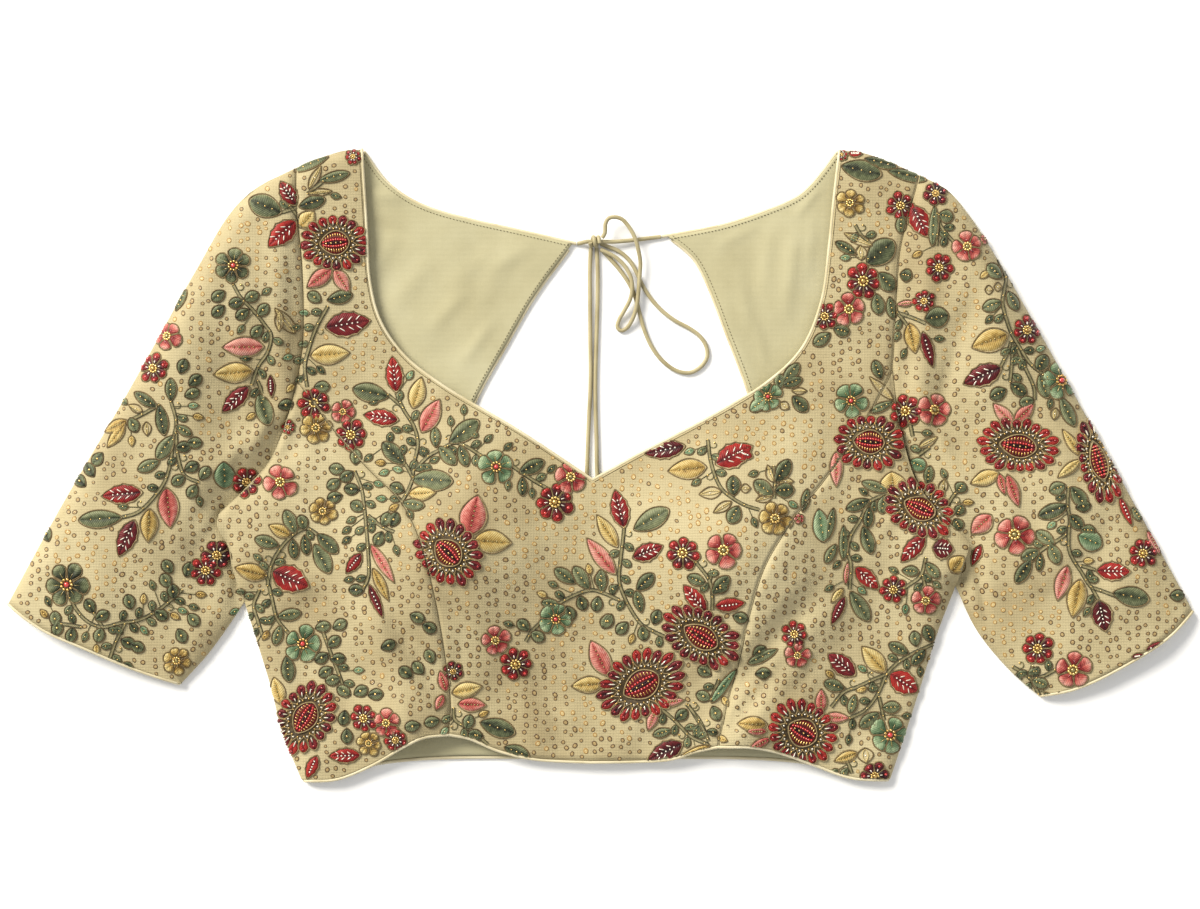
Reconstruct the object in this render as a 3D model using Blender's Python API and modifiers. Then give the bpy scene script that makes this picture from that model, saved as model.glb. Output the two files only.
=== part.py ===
"""Saree blouse in embroidered cloth, laid flat on its back with the front up.

The wearer's right side lies at -X, the shoulders at +Y, and the blouse rests on z = 0. Tables and
helpers work in millimetres, and the meshes are written in metres. Every piece of the top layer takes
its height from one function of its place over the floor, so that neighbours meet at their seams.
"""

import math

import bmesh
import bpy
import numpy as np

MM = 0.001

# Cloth, trim and clearances.
TOP_WALL = 1.4
BACK_WALL = 1.2
LINING_WALL = 1.0
GAP = 0.3
SEAM_HALF = 0.2
RIDGE_SEAM_HALF = 0.3
PIPING = 2.0
CLOTH_INSET = PIPING + GAP
PIPING_INSET = PIPING / 2
LINING_INSET = 4.0
CORD = 2.5

# Heights of the laid layers over the floor.
LINING_BASE = BACK_WALL + GAP
BACK_PIPING_HEIGHT = 1.25
FOLD_HEIGHT = BACK_WALL + GAP + 1.0
LOWEST_FRONT_PIPING = BACK_PIPING_HEIGHT + PIPING + 0.35
REST_HEIGHT = 7.0
SLEEVE_FLOOR_PIPING = PIPING / 2 + 0.1

# How far from an edge the top layer rounds down to it.
SIDE_ROUND = 11.0
SHOULDER_ROUND = 8.0
SLEEVE_ROUND = 13.0

# At the underarm a flap of the body lies over the sleeve, which drops to pass below it.
FLAP_STEP = 5.0
FLAP_REACH = 11.0
FLAP_START = 62.0
FLAP_FULL = 30.0

NECK_POINT = (-4.5, -7.3)
HEM_MIDDLE = (-6.0, -181.2)
KEYHOLE_FOOT = (0.0, -94.0)
BACK_HEM_MIDDLE = (0.0, -178.7)
OUTWARD = {"right": -1, "left": 1}

# Plan outlines of each side as (x, y), from the shoulder down, or from the middle out.
OUTLINES = {
    "right": {
        "neckline": (
            (-144, 192.8), (-141, 145), (-139, 112), (-132.7, 88.5), (-118, 67.5),
            (-94.6, 49.4), (-48.8, 22.1), NECK_POINT,
        ),
        "shoulder": ((-144, 192.8), (-155, 192), (-170, 187.5), (-184.8, 181.8)),
        "armhole": (
            (-184.8, 181.8), (-184, 155), (-181, 126), (-180, 98), (-180.6, 74.4), (-184, 52),
        ),
        "armhole_low": ((-184, 52), (-187.6, 37), (-192.5, 22)),
        "flap": ((-192.5, 22), (-201, 3), (-213, -11), (-231.8, -29.3)),
        "under_flap": ((-192.5, 22), (-200, -3), (-207, -29), (-212, -55), (-216.6, -83)),
        "overlap": ((-231.8, -29.3), (-232.5, -37), (-226, -48), (-223.5, -62), (-216.6, -83)),
        "side": ((-216.6, -83), (-207.4, -112), (-200, -136.6), (-194, -161), (-181.2, -192.8)),
        "princess": (
            (-184, 52), (-160, 20), (-138, -4), (-120.8, -20.7), (-109, -43), (-100, -77),
            (-93.3, -118), (-90.5, -146), (-92.1, -164),
        ),
        "hem_middle": (HEM_MIDDLE, (-39.7, -179.3), (-62.8, -173.9), (-80, -166.5), (-92.1, -164)),
        "hem_side": (
            (-92.1, -164), (-107, -165.6), (-117, -170.2), (-138.5, -183), (-160, -191.5),
            (-181.2, -192.8),
        ),
        "sleeve_outer": (
            (-184.8, 181.8), (-210.5, 168.4), (-225, 154), (-245.8, 119.6), (-286.7, 46.4),
            (-329.4, -26.8), (-361.1, -84.8),
        ),
        "sleeve_lower": ((-216.6, -83), (-228, -100), (-240, -116), (-256.2, -133.6)),
        "sleeve_hem": (
            (-256.2, -133.6), (-283.7, -124.4), (-312.3, -112.2), (-339.8, -100), (-361.1, -84.8),
        ),
        "back_neck": (
            (-143.1, 192.2), (-130.2, 174.8), (-116, 164), (-101.3, 157.4), (-78.3, 151),
            (-49.4, 144.6), (-14.3, 136.6),
        ),
        "keyhole": (
            (-14.3, 136.6), (-38.1, 104.3), (-56.7, 72.6), (-75.6, 38), (-88, 6), (-90, -28),
            (-76, -62), (-45, -85), KEYHOLE_FOOT,
        ),
        "back_hem": (BACK_HEM_MIDDLE, (-104.9, -179.3), (-138.5, -183), (-165, -190), (-181.2, -192.8)),
    },
    "left": {
        "neckline": (
            (144.8, 192.2), (141.2, 161.8), (138, 130), (134, 101.3), (122.4, 72.6),
            (102.2, 52.5), (62, 28), (26.8, 9.8), NECK_POINT,
        ),
        "shoulder": ((144.8, 192.2), (156, 191.5), (175, 185.5), (194, 177.4)),
        "armhole": ((194, 177.4), (186.7, 151.3), (182, 132), (180, 110), (179, 88), (177.5, 58)),
        "armhole_low": ((177.5, 58), (179.5, 41), (182.5, 24)),
        "flap": ((182.5, 24), (191.5, -7.3), (203.7, -25.6), (225.1, -47)),
        "under_flap": ((182.5, 24), (190, 0), (200, -26), (209, -50), (216.6, -73.2)),
        "overlap": ((225.1, -47), (222.5, -55), (219.5, -64), (216.6, -73.2)),
        "side": ((216.6, -73.2), (206.2, -100), (194.6, -136.6), (186.7, -161), (176.3, -192.2)),
        "princess": (
            (177.5, 58), (158, 22), (136, -8), (115.9, -32.9), (98.8, -61), (89.1, -93.3),
            (83, -122.6), (76, -148), (71.4, -171.5),
        ),
        "hem_middle": (HEM_MIDDLE, (34.2, -180.3), (45.8, -178.7), (58, -174.5), (71.4, -171.5)),
        "hem_side": (
            (71.4, -171.5), (92, -171.6), (108.6, -175.1), (128, -182), (152, -190.5),
            (176.3, -192.2),
        ),
        "sleeve_outer": (
            (194, 177.4), (211, 168.4), (226, 151), (245.8, 119.6), (287.3, 46.4),
            (327.6, -26.8), (361.7, -89.1),
        ),
        "sleeve_lower": ((216.6, -73.2), (229.4, -100), (249.5, -124.4), (268.4, -140.9)),
        "sleeve_hem": ((268.4, -140.9), (289, -136.6), (315.4, -124.4), (346, -105), (361.7, -89.1)),
        "back_neck": (
            (144, 192.2), (128.1, 172), (119.6, 164.7), (98, 155.3), (76.3, 148.2), (56.1, 144),
            (37.5, 140.9),
        ),
        "keyhole": (
            (37.5, 140.9), (46, 135), (56, 126), (63.1, 113.5), (76.3, 79.9), (89.3, 45.1),
            (98, 10), (98, -25), (80, -62), (45, -85), KEYHOLE_FOOT,
        ),
        "back_hem": (BACK_HEM_MIDDLE, (96.4, -179.3), (128.1, -182.4), (158, -190), (176.3, -192.2)),
    },
}

# Soft swellings of the top layer: x, y, reach along, reach across, turn in degrees, rise.
SWELLS = (
    (-86, -48, 66, 58, 80, 23),
    (82, -52, 66, 58, 100, 23),
    (-6, -90, 60, 40, 90, 3),
    (-118, -156, 30, 20, 150, 9),
    (92, -160, 32, 20, 20, 8),
    (-162, 120, 60, 26, 90, 3.5),
    (162, 116, 60, 26, 90, 3.5),
    (-206, -45, 40, 24, 70, 5),
    (204, -50, 40, 24, 110, 5),
    (-232, 92, 78, 34, 62, 10),
    (234, 92, 78, 34, 118, 10),
    (-290, -45, 78, 42, 60, 8),
    (290, -48, 78, 42, 120, 8),
)

# Folds of the top layer: start x, start y, end x, end y, half width, rise (below 0 is a trough).
FOLDS = (
    (-150, -76, -100, -160, 9, 3.0),
    (-134, -70, -84, -150, 7, -2.5),
    (156, -76, 74, -160, 9, 3.0),
    (138, -66, 62, -158, 7, -2.5),
    (-196, 158, -193, 30, 6, 3.0),
    (-186, 150, -184, 40, 4, -1.8),
    (200, 150, 192, -6, 6, 3.0),
    (188, 140, 184, 20, 4, -1.8),
    (-236, -8, -184, 44, 7, 3.0),
    (-222, -24, -176, 22, 6, -2.0),
    (236, -22, 186, 40, 7, 3.0),
    (222, -38, 180, 14, 6, -2.0),
    (-262, -62, -232, 20, 9, 2.4),
    (262, -80, 238, 4, 9, 2.6),
    (-206, -92, -172, -66, 8, 2.0),
    (206, -88, 172, -64, 8, 2.0),
)


def even(count):
    """Shares from 0 to 1 in equal steps."""
    return np.linspace(0, 1, count + 1)


def from_start(count, power=1.5):
    """Shares from 0 to 1 that lie closer near 0."""
    return even(count) ** power


def to_end(count, power=1.8):
    """Shares from 0 to 1 that lie closer near 1."""
    return 1 - (1 - even(count)) ** power


def both_ends(count):
    """Shares from 0 to 1 that lie closer near both."""
    return (1 - np.cos(math.pi * even(count))) / 2


def smooth(points, shares):
    """A smooth curve through the points, read at shares of its length."""
    p = np.array(points, float)
    root = np.linalg.norm(np.diff(p, axis=0), axis=1)[:, None] ** 0.5
    slope = np.diff(p, axis=0) / root
    inner = (slope[:-1] * root[1:] + slope[1:] * root[:-1]) / (root[:-1] + root[1:])
    tangent = np.vstack([slope[:1], inner, slope[-1:]])
    t = np.linspace(0, 1, 16, endpoint=False)[:, None]
    spans = []
    for i in range(len(p) - 1):
        rise = p[i + 1] - p[i]
        leave, arrive = tangent[i] * root[i], tangent[i + 1] * root[i]
        bend = 3 * rise - 2 * leave - arrive
        twist = leave + arrive - 2 * rise
        spans.append(p[i] + t * leave + t**2 * bend + t**3 * twist)
    fine = np.vstack([*spans, p[-1:]])
    along = np.concatenate([[0], np.cumsum(np.linalg.norm(np.diff(fine, axis=0), axis=1))])
    at = along[-1] * np.asarray(shares)
    return np.stack([np.interp(at, along, fine[:, k]) for k in range(p.shape[1])], axis=1)


def outline(side, name, shares):
    return smooth(OUTLINES[side][name], shares)


def chain(*runs):
    """Runs that share their end points, as one line."""
    return np.vstack([runs[0], *(run[1:] for run in runs[1:])])


def shifted(line, distance, side):
    """A plan line moved into the cloth that it bounds, mitred at its corners."""
    step = np.diff(line, axis=0)
    step = step / np.linalg.norm(step, axis=1)[:, None]
    normal = np.stack([-step[:, 1], step[:, 0]], axis=1)
    before = np.vstack([normal[:1], normal])
    after = np.vstack([normal, normal[-1:]])
    mean = before + after
    mean = mean / np.linalg.norm(mean, axis=1)[:, None]
    reach = np.maximum(np.sum(mean * after, axis=1), 0.4)
    return line + OUTWARD[side] * distance * mean / reach[:, None]


def fitted(line, start, end):
    """A line whose ends are moved to start and end, and its middle with them."""
    share = np.linspace(0, 1, len(line))[:, None]
    return line + (1 - share) * (start - line[0]) + share * (end - line[-1])


def patch(inner, outer, top, bottom, across):
    """Plan points between four lines: each row runs from the inner line to the outer one."""
    top = fitted(top, inner[0], outer[0])
    bottom = fitted(bottom, inner[-1], outer[-1])
    t = np.linspace(0, 1, len(inner))[:, None, None]
    s = across[None, :, None]
    ruled = (1 - s) * inner[:, None] + s * outer[:, None]
    ends = (1 - t) * top[None] + t * bottom[None]
    first = (1 - s) * inner[0] + s * outer[0]
    last = (1 - s) * inner[-1] + s * outer[-1]
    return ruled + ends - (1 - t) * first - t * last


def nearest(line, points):
    """How far each plan point lies from a line."""
    start, along = line[:-1], np.diff(line, axis=0)
    share = ((points[:, None] - start) * along).sum(axis=2) / (along**2).sum(axis=1)
    foot = start + np.clip(share, 0, 1)[..., None] * along
    return np.linalg.norm(points[:, None] - foot, axis=2).min(axis=1)


def rounded_edges():
    """The lines at which the top layer turns down, each with the width of its rounding."""
    edges = []
    for side in OUTWARD:
        edges.append((outline(side, "side", even(16)), SIDE_ROUND))
        edges.append((outline(side, "shoulder", even(8)), SHOULDER_ROUND))
        edges.append((outline(side, "sleeve_outer", even(24)), SLEEVE_ROUND))
        edges.append((outline(side, "sleeve_lower", even(8)), SLEEVE_ROUND))
    return edges


ROUNDED_EDGES = rounded_edges()


def height(points):
    """The height of the top layer's outer face over plan points."""
    flat = points.reshape(-1, 2)
    z = np.full(len(flat), REST_HEIGHT)
    for x, y, along, across, turn, rise in SWELLS:
        c, s = math.cos(math.radians(turn)), math.sin(math.radians(turn))
        u = ((flat[:, 0] - x) * c + (flat[:, 1] - y) * s) / along
        v = ((flat[:, 1] - y) * c - (flat[:, 0] - x) * s) / across
        z += rise * np.exp(-(u**2) - v**2)
    for x0, y0, x1, y1, width, rise in FOLDS:
        along = np.array([x1 - x0, y1 - y0], float)
        length = np.linalg.norm(along)
        share = (flat - [x0, y0]) @ along / length**2
        off = ((flat - [x0, y0]) @ [-along[1], along[0]]) / length
        fade = np.clip(1.3 * (1 - (2 * share - 1) ** 2), 0, 1)
        z += rise * fade * np.exp(-((off / width) ** 2))
    for line, width in ROUNDED_EDGES:
        near = np.clip(nearest(line, flat) / width, 0, 1)
        z = FOLD_HEIGHT + (z - FOLD_HEIGHT) * np.sqrt(1 - (1 - near) ** 2)
    return z.reshape(points.shape[:-1])


def inside(line, points):
    """Which plan points lie within a closed line, by counting the edges to their right."""
    x, y = points[:, 0, None], points[:, 1, None]
    x0, y0 = line[:, 0], line[:, 1]
    x1, y1 = np.roll(x0, -1), np.roll(y0, -1)
    level = np.where(y0 == y1, 1, y1 - y0)
    crossed = (y0 > y) != (y1 > y)
    return ((crossed & (x < x0 + (y - y0) * (x1 - x0) / level)).sum(axis=1) % 2) == 1


def sleeve_height(points, side):
    """The sleeve's height, which drops to pass below the flap of the body at the underarm."""
    flat = points.reshape(-1, 2)
    edge = chain(outline(side, "flap", even(12)), outline(side, "overlap", even(12)))
    flap = np.vstack([edge, outline(side, "under_flap", even(12))[::-1]])
    away = np.where(inside(flap, flat), 0, nearest(edge, flat))
    share = np.clip((FLAP_START - flat[:, 1]) / (FLAP_START - FLAP_FULL), 0, 1)
    z = height(flat)
    low = np.clip((z - FOLD_HEIGHT) / FLAP_STEP, 0, 1)
    return (z - FLAP_STEP * share * low * np.exp(-((away / FLAP_REACH) ** 2))).reshape(points.shape[:-1])


def raised(grid, z):
    """Plan points with their heights, in metres."""
    z = np.broadcast_to(z, grid.shape[:-1])
    return np.concatenate([grid, z[..., None]], axis=-1) * MM


def material(name, colour, roughness):
    made = bpy.data.materials.new(name)
    made.use_nodes = True
    shader = made.node_tree.nodes["Principled BSDF"]
    shader.inputs["Base Color"].default_value = (*colour, 1)
    shader.inputs["Roughness"].default_value = roughness
    made.diffuse_color = (*colour, 1)
    return made


def place(collection, name, data, look):
    made = bpy.data.objects.new(name, data)
    data.materials.append(material(name, *LOOKS[look]))
    collection.objects.link(made)
    return made


def shell(collection, name, grids, wall, look, ring=False):
    """A wall of cloth that hangs below its outer face, which is given as grids of points."""
    mesh = bpy.data.meshes.new(name)
    work = bmesh.new()
    for grid in grids:
        rows, columns = grid.shape[:2]
        points = [[work.verts.new(p) for p in row] for row in grid]
        for i in range(rows - 1):
            for j in range(columns if ring else columns - 1):
                k = (j + 1) % columns
                work.faces.new((points[i][j], points[i + 1][j], points[i + 1][k], points[i][k]))
    bmesh.ops.remove_doubles(work, verts=work.verts, dist=0.00001)
    bmesh.ops.recalc_face_normals(work, faces=work.faces)
    work.normal_update()
    highest = max(work.faces, key=lambda face: face.calc_center_median().z)
    if highest.normal.z < 0:
        bmesh.ops.reverse_faces(work, faces=work.faces)
    work.to_mesh(mesh)
    work.free()
    mesh.shade_smooth()
    made = place(collection, name, mesh, look)
    solid = made.modifiers.new("Wall", "SOLIDIFY")
    solid.thickness = wall * MM
    solid.offset = -1
    return made


def tube(collection, name, route, diameter, look, resolution=1, closed=False):
    """A round strip or cord along a route in millimetres."""
    data = bpy.data.curves.new(name, "CURVE")
    data.dimensions = "3D"
    data.bevel_depth = diameter / 2 * MM
    data.bevel_resolution = resolution
    data.use_fill_caps = not closed
    spline = data.splines.new("POLY")
    spline.points.add(len(route) - 1)
    for point, (x, y, z) in zip(spline.points, route):
        point.co = (x * MM, y * MM, z * MM, 1)
    spline.use_cyclic_u = closed
    spline.use_smooth = True
    return place(collection, name, data, look)


# Where the edges of the panels are read, so that piping and cloth share their corners.
NECK_STEPS = from_start(15, 1.2)
MIDDLE_STEPS = even(10)
ACROSS_CENTRE = even(9)
ACROSS_SIDE = to_end(10)
ACROSS_BACK = even(8)
ACROSS_SLEEVE = both_ends(17)
SEAM_STEPS = {"armhole": from_start(8, 1.7), "armhole_low": even(3), "under_flap": to_end(6, 1.5)}
BACK_NECK_STEPS = from_start(8, 1.2)
KEYHOLE_STEPS = even(14)
KEYHOLE_PIPING_START = 0.3
SIDE_TIP = 0.2

# Colour and roughness of each cloth.
LOOKS = {
    "brocade": ((0.70, 0.60, 0.36), 0.7),
    "lining": ((0.66, 0.63, 0.37), 0.75),
    "piping": ((0.80, 0.72, 0.46), 0.45),
    "cord": ((0.55, 0.49, 0.28), 0.5),
}


def front_centre_half(side):
    """The front from one shoulder to the hem, between the neckline or middle and the princess seam."""
    neck = shifted(outline(side, "neckline", NECK_STEPS), CLOTH_INSET, side)
    foot = np.array(HEM_MIDDLE) + (0, CLOTH_INSET)
    point = np.array(NECK_POINT) - (0, 1.25 * CLOTH_INSET)
    middle = point + MIDDLE_STEPS[:, None] * (foot - point)
    inner = chain(np.vstack([neck[:-1], point]), middle)
    armhole = outline(side, "armhole", SEAM_STEPS["armhole"])
    seam = outline(side, "princess", even(17))
    outer = chain(shifted(armhole, -SEAM_HALF, side), shifted(seam, -RIDGE_SEAM_HALF, side))
    across = ACROSS_CENTRE
    bottom = shifted(outline(side, "hem_middle", across), CLOTH_INSET, side)
    outer[-1] = bottom[-1] - (OUTWARD[side] * RIDGE_SEAM_HALF, 0)
    grid = patch(inner, outer, outline(side, "shoulder", across), bottom, across)
    return raised(grid, height(grid))


def front_centre(collection):
    grids = [front_centre_half(side) for side in OUTWARD]
    shell(collection, "front_centre", grids, TOP_WALL, "brocade")


def front_side(collection, side):
    """The side front, from the princess seam to the armhole, the flap and the side seam."""
    start = SEAM_STEPS["armhole_low"].copy()
    start[0] = SIDE_TIP
    edge = chain(
        outline(side, "armhole_low", start),
        outline(side, "flap", even(4)),
        outline(side, "overlap", to_end(4)),
        outline(side, "side", even(12)),
    )
    outer = shifted(edge, -SEAM_HALF, side)
    down = even(len(edge) - 1)
    seam = outline(side, "princess", down + 0.1 * SIDE_TIP * (1 - down))
    inner = shifted(seam, RIDGE_SEAM_HALF, side)
    across = ACROSS_SIDE
    bottom = shifted(outline(side, "hem_side", across), CLOTH_INSET, side)
    inner[-1] = bottom[0] + (OUTWARD[side] * RIDGE_SEAM_HALF, 0)
    outer[-1] = bottom[-1]
    top = np.linspace(inner[0], outer[0], len(across))
    grid = patch(inner, outer, top, bottom, across)
    shell(collection, f"front_side_{side}", [raised(grid, height(grid))], TOP_WALL, "brocade")


def back_lines(side, middle_rows):
    """The back's inner line (neck, keyhole, middle) and its outer line, in matching rows."""
    neck_rows, keyhole_rows = len(BACK_NECK_STEPS) - 1, len(KEYHOLE_STEPS) - 1
    foot = np.array(KEYHOLE_FOOT)
    middle = foot + even(middle_rows)[:, None] * (np.array(BACK_HEM_MIDDLE) - foot)
    inner = chain(
        outline(side, "back_neck", BACK_NECK_STEPS),
        outline(side, "keyhole", KEYHOLE_STEPS),
        middle,
    )
    armhole = armhole_line(side)
    side_rows = neck_rows + keyhole_rows + middle_rows + 1 - len(armhole)
    outer = chain(armhole, outline(side, "side", even(side_rows)))
    return inner, outer


def back_grid(side, edge_inset, end_inset):
    middle_rows = 4
    inner, outer = back_lines(side, middle_rows)
    inner = shifted(inner, CLOTH_INSET, side)
    inner[-middle_rows:, 0] = OUTWARD[side] * SEAM_HALF
    inner[-1, 1] += CLOTH_INSET
    outer = shifted(outer, -edge_inset, side)
    outer[0, 1] -= end_inset
    inner[0, 1] -= end_inset
    outer[-1, 1] += CLOTH_INSET
    across = ACROSS_BACK
    top = outline(side, "shoulder", across)
    bottom = outline(side, "back_hem", across)
    return patch(inner, outer, top, bottom, across)


def back(collection, side):
    grid = raised(back_grid(side, SEAM_HALF, 0), BACK_WALL)
    shell(collection, f"back_{side}", [grid], BACK_WALL, "brocade")


def back_lining(collection, side):
    grid = raised(back_grid(side, LINING_INSET, LINING_INSET), LINING_BASE + LINING_WALL)
    shell(collection, f"back_lining_{side}", [grid], LINING_WALL, "lining")


def armhole_line(side):
    """The seam of sleeve and back, from the shoulder to the foot of the underarm."""
    return chain(*(outline(side, name, steps) for name, steps in SEAM_STEPS.items()))


def sleeve_plan(side, along):
    """The sleeve's plan points: rows run from the armhole to the hem, columns across it."""
    armhole = armhole_line(side)
    hem = shifted(outline(side, "sleeve_hem", ACROSS_SLEEVE), CLOTH_INSET, side)[::-1]
    upper = outline(side, "sleeve_outer", along)
    lower = outline(side, "sleeve_lower", along)
    upper[-1], lower[-1] = hem[0], hem[-1]
    armhole = shifted(armhole, SEAM_HALF, side)
    grid = patch(armhole, hem, upper, lower, along)
    return np.swapaxes(grid, 0, 1)


def sleeve(collection, side):
    """A flattened tube: an upper layer that rounds down at both folds, and a flat lower layer."""
    plan = sleeve_plan(side, even(11))
    upper = raised(plan, sleeve_height(plan, side))
    lower = raised(plan[:, -2:0:-1], 0)
    rings = np.concatenate([upper, lower], axis=1)
    shell(collection, f"sleeve_{side}", [rings], TOP_WALL, "brocade", ring=True)


def top_edge_route(line):
    """Where piping runs beside the top layer's edge: at mid wall, never below the back's piping."""
    z = np.maximum(height(line) - TOP_WALL / 2, LOWEST_FRONT_PIPING)
    return np.concatenate([line, z[:, None]], axis=1)


def floor_route(line, z):
    return np.concatenate([line, np.full((len(line), 1), z)], axis=1)


def neck_piping_front(collection):
    right = outline("right", "neckline", NECK_STEPS)
    left = outline("left", "neckline", NECK_STEPS)
    line = chain(right, left[::-1])
    line = shifted(line, PIPING_INSET, "right")
    tube(collection, "neck_piping_front", top_edge_route(line), PIPING, "piping")


def neck_piping_back(collection, side):
    line = shifted(outline(side, "back_neck", BACK_NECK_STEPS), PIPING_INSET, side)
    route = floor_route(line, BACK_PIPING_HEIGHT)
    tube(collection, f"neck_piping_back_{side}", route, PIPING, "piping")


def keyhole_piping(collection):
    """Round the keyhole, from just below one tie corner to just below the other."""
    halves = {}
    for side in OUTWARD:
        half = shifted(outline(side, "keyhole", KEYHOLE_STEPS), PIPING_INSET, side)
        half[0] += KEYHOLE_PIPING_START * (half[1] - half[0])
        half[-1] = np.array(KEYHOLE_FOOT) - (0, PIPING_INSET)
        halves[side] = half
    line = chain(halves["right"], halves["left"][::-1])
    tube(collection, "keyhole_piping", floor_route(line, BACK_PIPING_HEIGHT), PIPING, "piping")


def hem_piping(collection):
    """One ring: along the front hem from right to left, round the corner and back under it."""
    front, under = [], []
    for side in OUTWARD:
        middle = outline(side, "hem_middle", ACROSS_CENTRE)
        line = chain(middle, outline(side, "hem_side", ACROSS_SIDE))
        front.append(shifted(line, PIPING_INSET, side)[:-1])
        line = outline(side, "back_hem", ACROSS_BACK)
        under.append(shifted(line, PIPING_INSET, side)[:-1])
    top = np.vstack([front[0][::-1], front[1][1:]])
    bottom = np.vstack([under[1][::-1], under[0][1:]])
    corner = {side: np.array(OUTLINES[side]["side"][-1], float) for side in OUTWARD}
    turn = (LOWEST_FRONT_PIPING + BACK_PIPING_HEIGHT) / 2
    inset = {side: np.array([-OUTWARD[side] * PIPING_INSET, PIPING_INSET]) for side in OUTWARD}
    route = np.vstack([
        top_edge_route(top),
        [[*(corner["left"] + inset["left"]), turn]],
        floor_route(bottom, BACK_PIPING_HEIGHT),
        [[*(corner["right"] + inset["right"]), turn]],
    ])
    tube(collection, "hem_piping", route, PIPING, "piping", closed=True)


def sleeve_piping(collection, side):
    """A ring round the sleeve's opening, one wall's gap outside its hem."""
    line = shifted(outline(side, "sleeve_hem", ACROSS_SLEEVE), PIPING_INSET, side)
    ends = line[[0, -1]].copy()
    middle = line[1:-1]
    turn = (LOWEST_FRONT_PIPING + SLEEVE_FLOOR_PIPING) / 2
    inward = (line[-1] - line[0]) / np.linalg.norm(line[-1] - line[0]) * PIPING_INSET
    ends[0] += inward
    ends[1] -= inward
    route = np.vstack([
        top_edge_route(middle),
        [[*ends[1], turn]],
        floor_route(middle[::-1], SLEEVE_FLOOR_PIPING),
        [[*ends[0], turn]],
    ])
    tube(collection, f"sleeve_piping_{side}", route, PIPING, "piping", closed=True)


# The tie cord, in x, y, z. It lies on the floor inside the keyhole, but for what crosses over.
KNOT_CENTRE = (-3.1, 136.6, 4.3)
BRIDGE = (
    (-13.85, 135.6, 1.35), (-12.6, 135.7, 1.4), (-10.2, 136.2, 2.9), (-7.8, 136.6, 4.2),
    (-6.2, 136.6, 4.3), KNOT_CENTRE, (0, 136.6, 4.3), (2, 136.6, 4.25), (8, 136.6, 3.7),
    (20, 137.6, 2.5), (33, 139.3, 1.4), (35.8, 139.6, 1.35), (37.2, 139.8, 1.35),
)
LOOP_SMALL = (
    (1.3, 138.9, 6.5), (2.8, 141.0, 7.0), (3.2, 144.0, 7.0), (3.3, 147.2, 7.0), (5.2, 150.6, 7.0),
    (9.2, 151.4, 7.0), (13.4, 150.1, 7.0), (17.6, 145.4, 7.0), (21.1, 139.1, 7.0),
    (23.2, 132.1, 6.2), (24.6, 123.8, 4.8), (24.0, 114.6, 4.3), (23.4, 106.3, 4.3),
    (22.4, 97.8, 4.2), (19.8, 89.4, 3.2), (16.4, 84.2, 1.6), (12.9, 82.4, 1.3), (10.6, 84.6, 1.3),
    (11.6, 89.0, 1.6), (14.8, 94.6, 3.0), (18.3, 101.3, 4.2), (19.6, 107.6, 4.3),
    (19.0, 113.9, 4.3), (15.9, 120.6, 4.3), (10.4, 126.4, 4.4), (4.6, 129.8, 4.5),
    (1.6, 131.2, 4.5), (0.2, 131.8, 4.5),
)
LOOP_LARGE = (
    (0.3, 135.7, 1.35), (2.8, 134.6, 1.3), (6.2, 133.2, 1.3), (10.6, 131.4, 1.3),
    (15.8, 127.6, 1.3), (19.8, 122.8, 1.3), (22.6, 117.4, 1.3), (25.8, 110.4, 1.3),
    (30.6, 102.7, 1.3), (37.4, 95.0, 1.3), (45.6, 88.7, 1.3), (54.7, 83.8, 1.3),
    (61.1, 78.9, 1.3), (64.9, 72.6, 1.3), (65.3, 66.3, 1.3), (61.7, 60.7, 1.3),
    (56.1, 57.2, 1.3), (50.2, 57.0, 1.3), (44.0, 59.4, 1.3), (37.2, 65.0, 1.3),
    (31.6, 72.6, 1.3), (27.5, 81.7, 1.3), (24.4, 92.2, 1.3), (21.8, 102.0, 1.3),
    (18.0, 110.8, 1.3), (12.6, 118.8, 1.3), (7.0, 125.4, 1.3), (3.4, 129.3, 1.3),
    (1.2, 132.0, 1.3),
)
TAIL_RIGHT = (
    (-5.6, 133.05, 1.3), (-6.2, 118, 1.3), (-6.1, 101.3, 1.3), (-5.9, 76, 1.3),
    (-5.7, 52.5, 1.3), (-6.6, 32, 1.3), (-7.3, 15.9, 1.3), (-8.0, -4, 1.3), (-9.4, -28, 1.3),
    (-11.6, -52, 1.3), (-12.4, -74, 1.3),
)
TAIL_LEFT = (
    (-2.0, 133.05, 1.3), (-1.4, 118, 1.3), (-1.5, 101.3, 1.3), (-2.2, 76, 1.3),
    (-2.8, 52.5, 1.3), (-2.6, 32, 1.3), (-2.1, 15.9, 1.3), (-1.8, -4, 1.3), (-0.4, -28, 1.3),
    (2.4, -50, 1.3), (3.2, -68, 1.3),
)
KNOT_TURNS = 2
KNOT_PITCH = CORD + GAP + 0.1
END_KNOT = 5.6
BRIDGE_STEPS = 24
SMALL_LOOP_STEPS = 46
LARGE_LOOP_STEPS = 48
TAIL_STEPS = 28


def tie_knot(collection):
    """The cord wound round the bridge."""
    radius = CORD + GAP
    steps = 11 * KNOT_TURNS
    turn = even(steps) * KNOT_TURNS
    angle = 2 * math.pi * turn + 0.6 * math.pi
    x = KNOT_CENTRE[0] + (turn - KNOT_TURNS / 2) * KNOT_PITCH
    y = KNOT_CENTRE[1] + radius * np.cos(angle)
    z = KNOT_CENTRE[2] + radius * np.sin(angle)
    tube(collection, "tie_knot", np.stack([x, y, z], axis=1), CORD, "cord", resolution=2)


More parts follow.
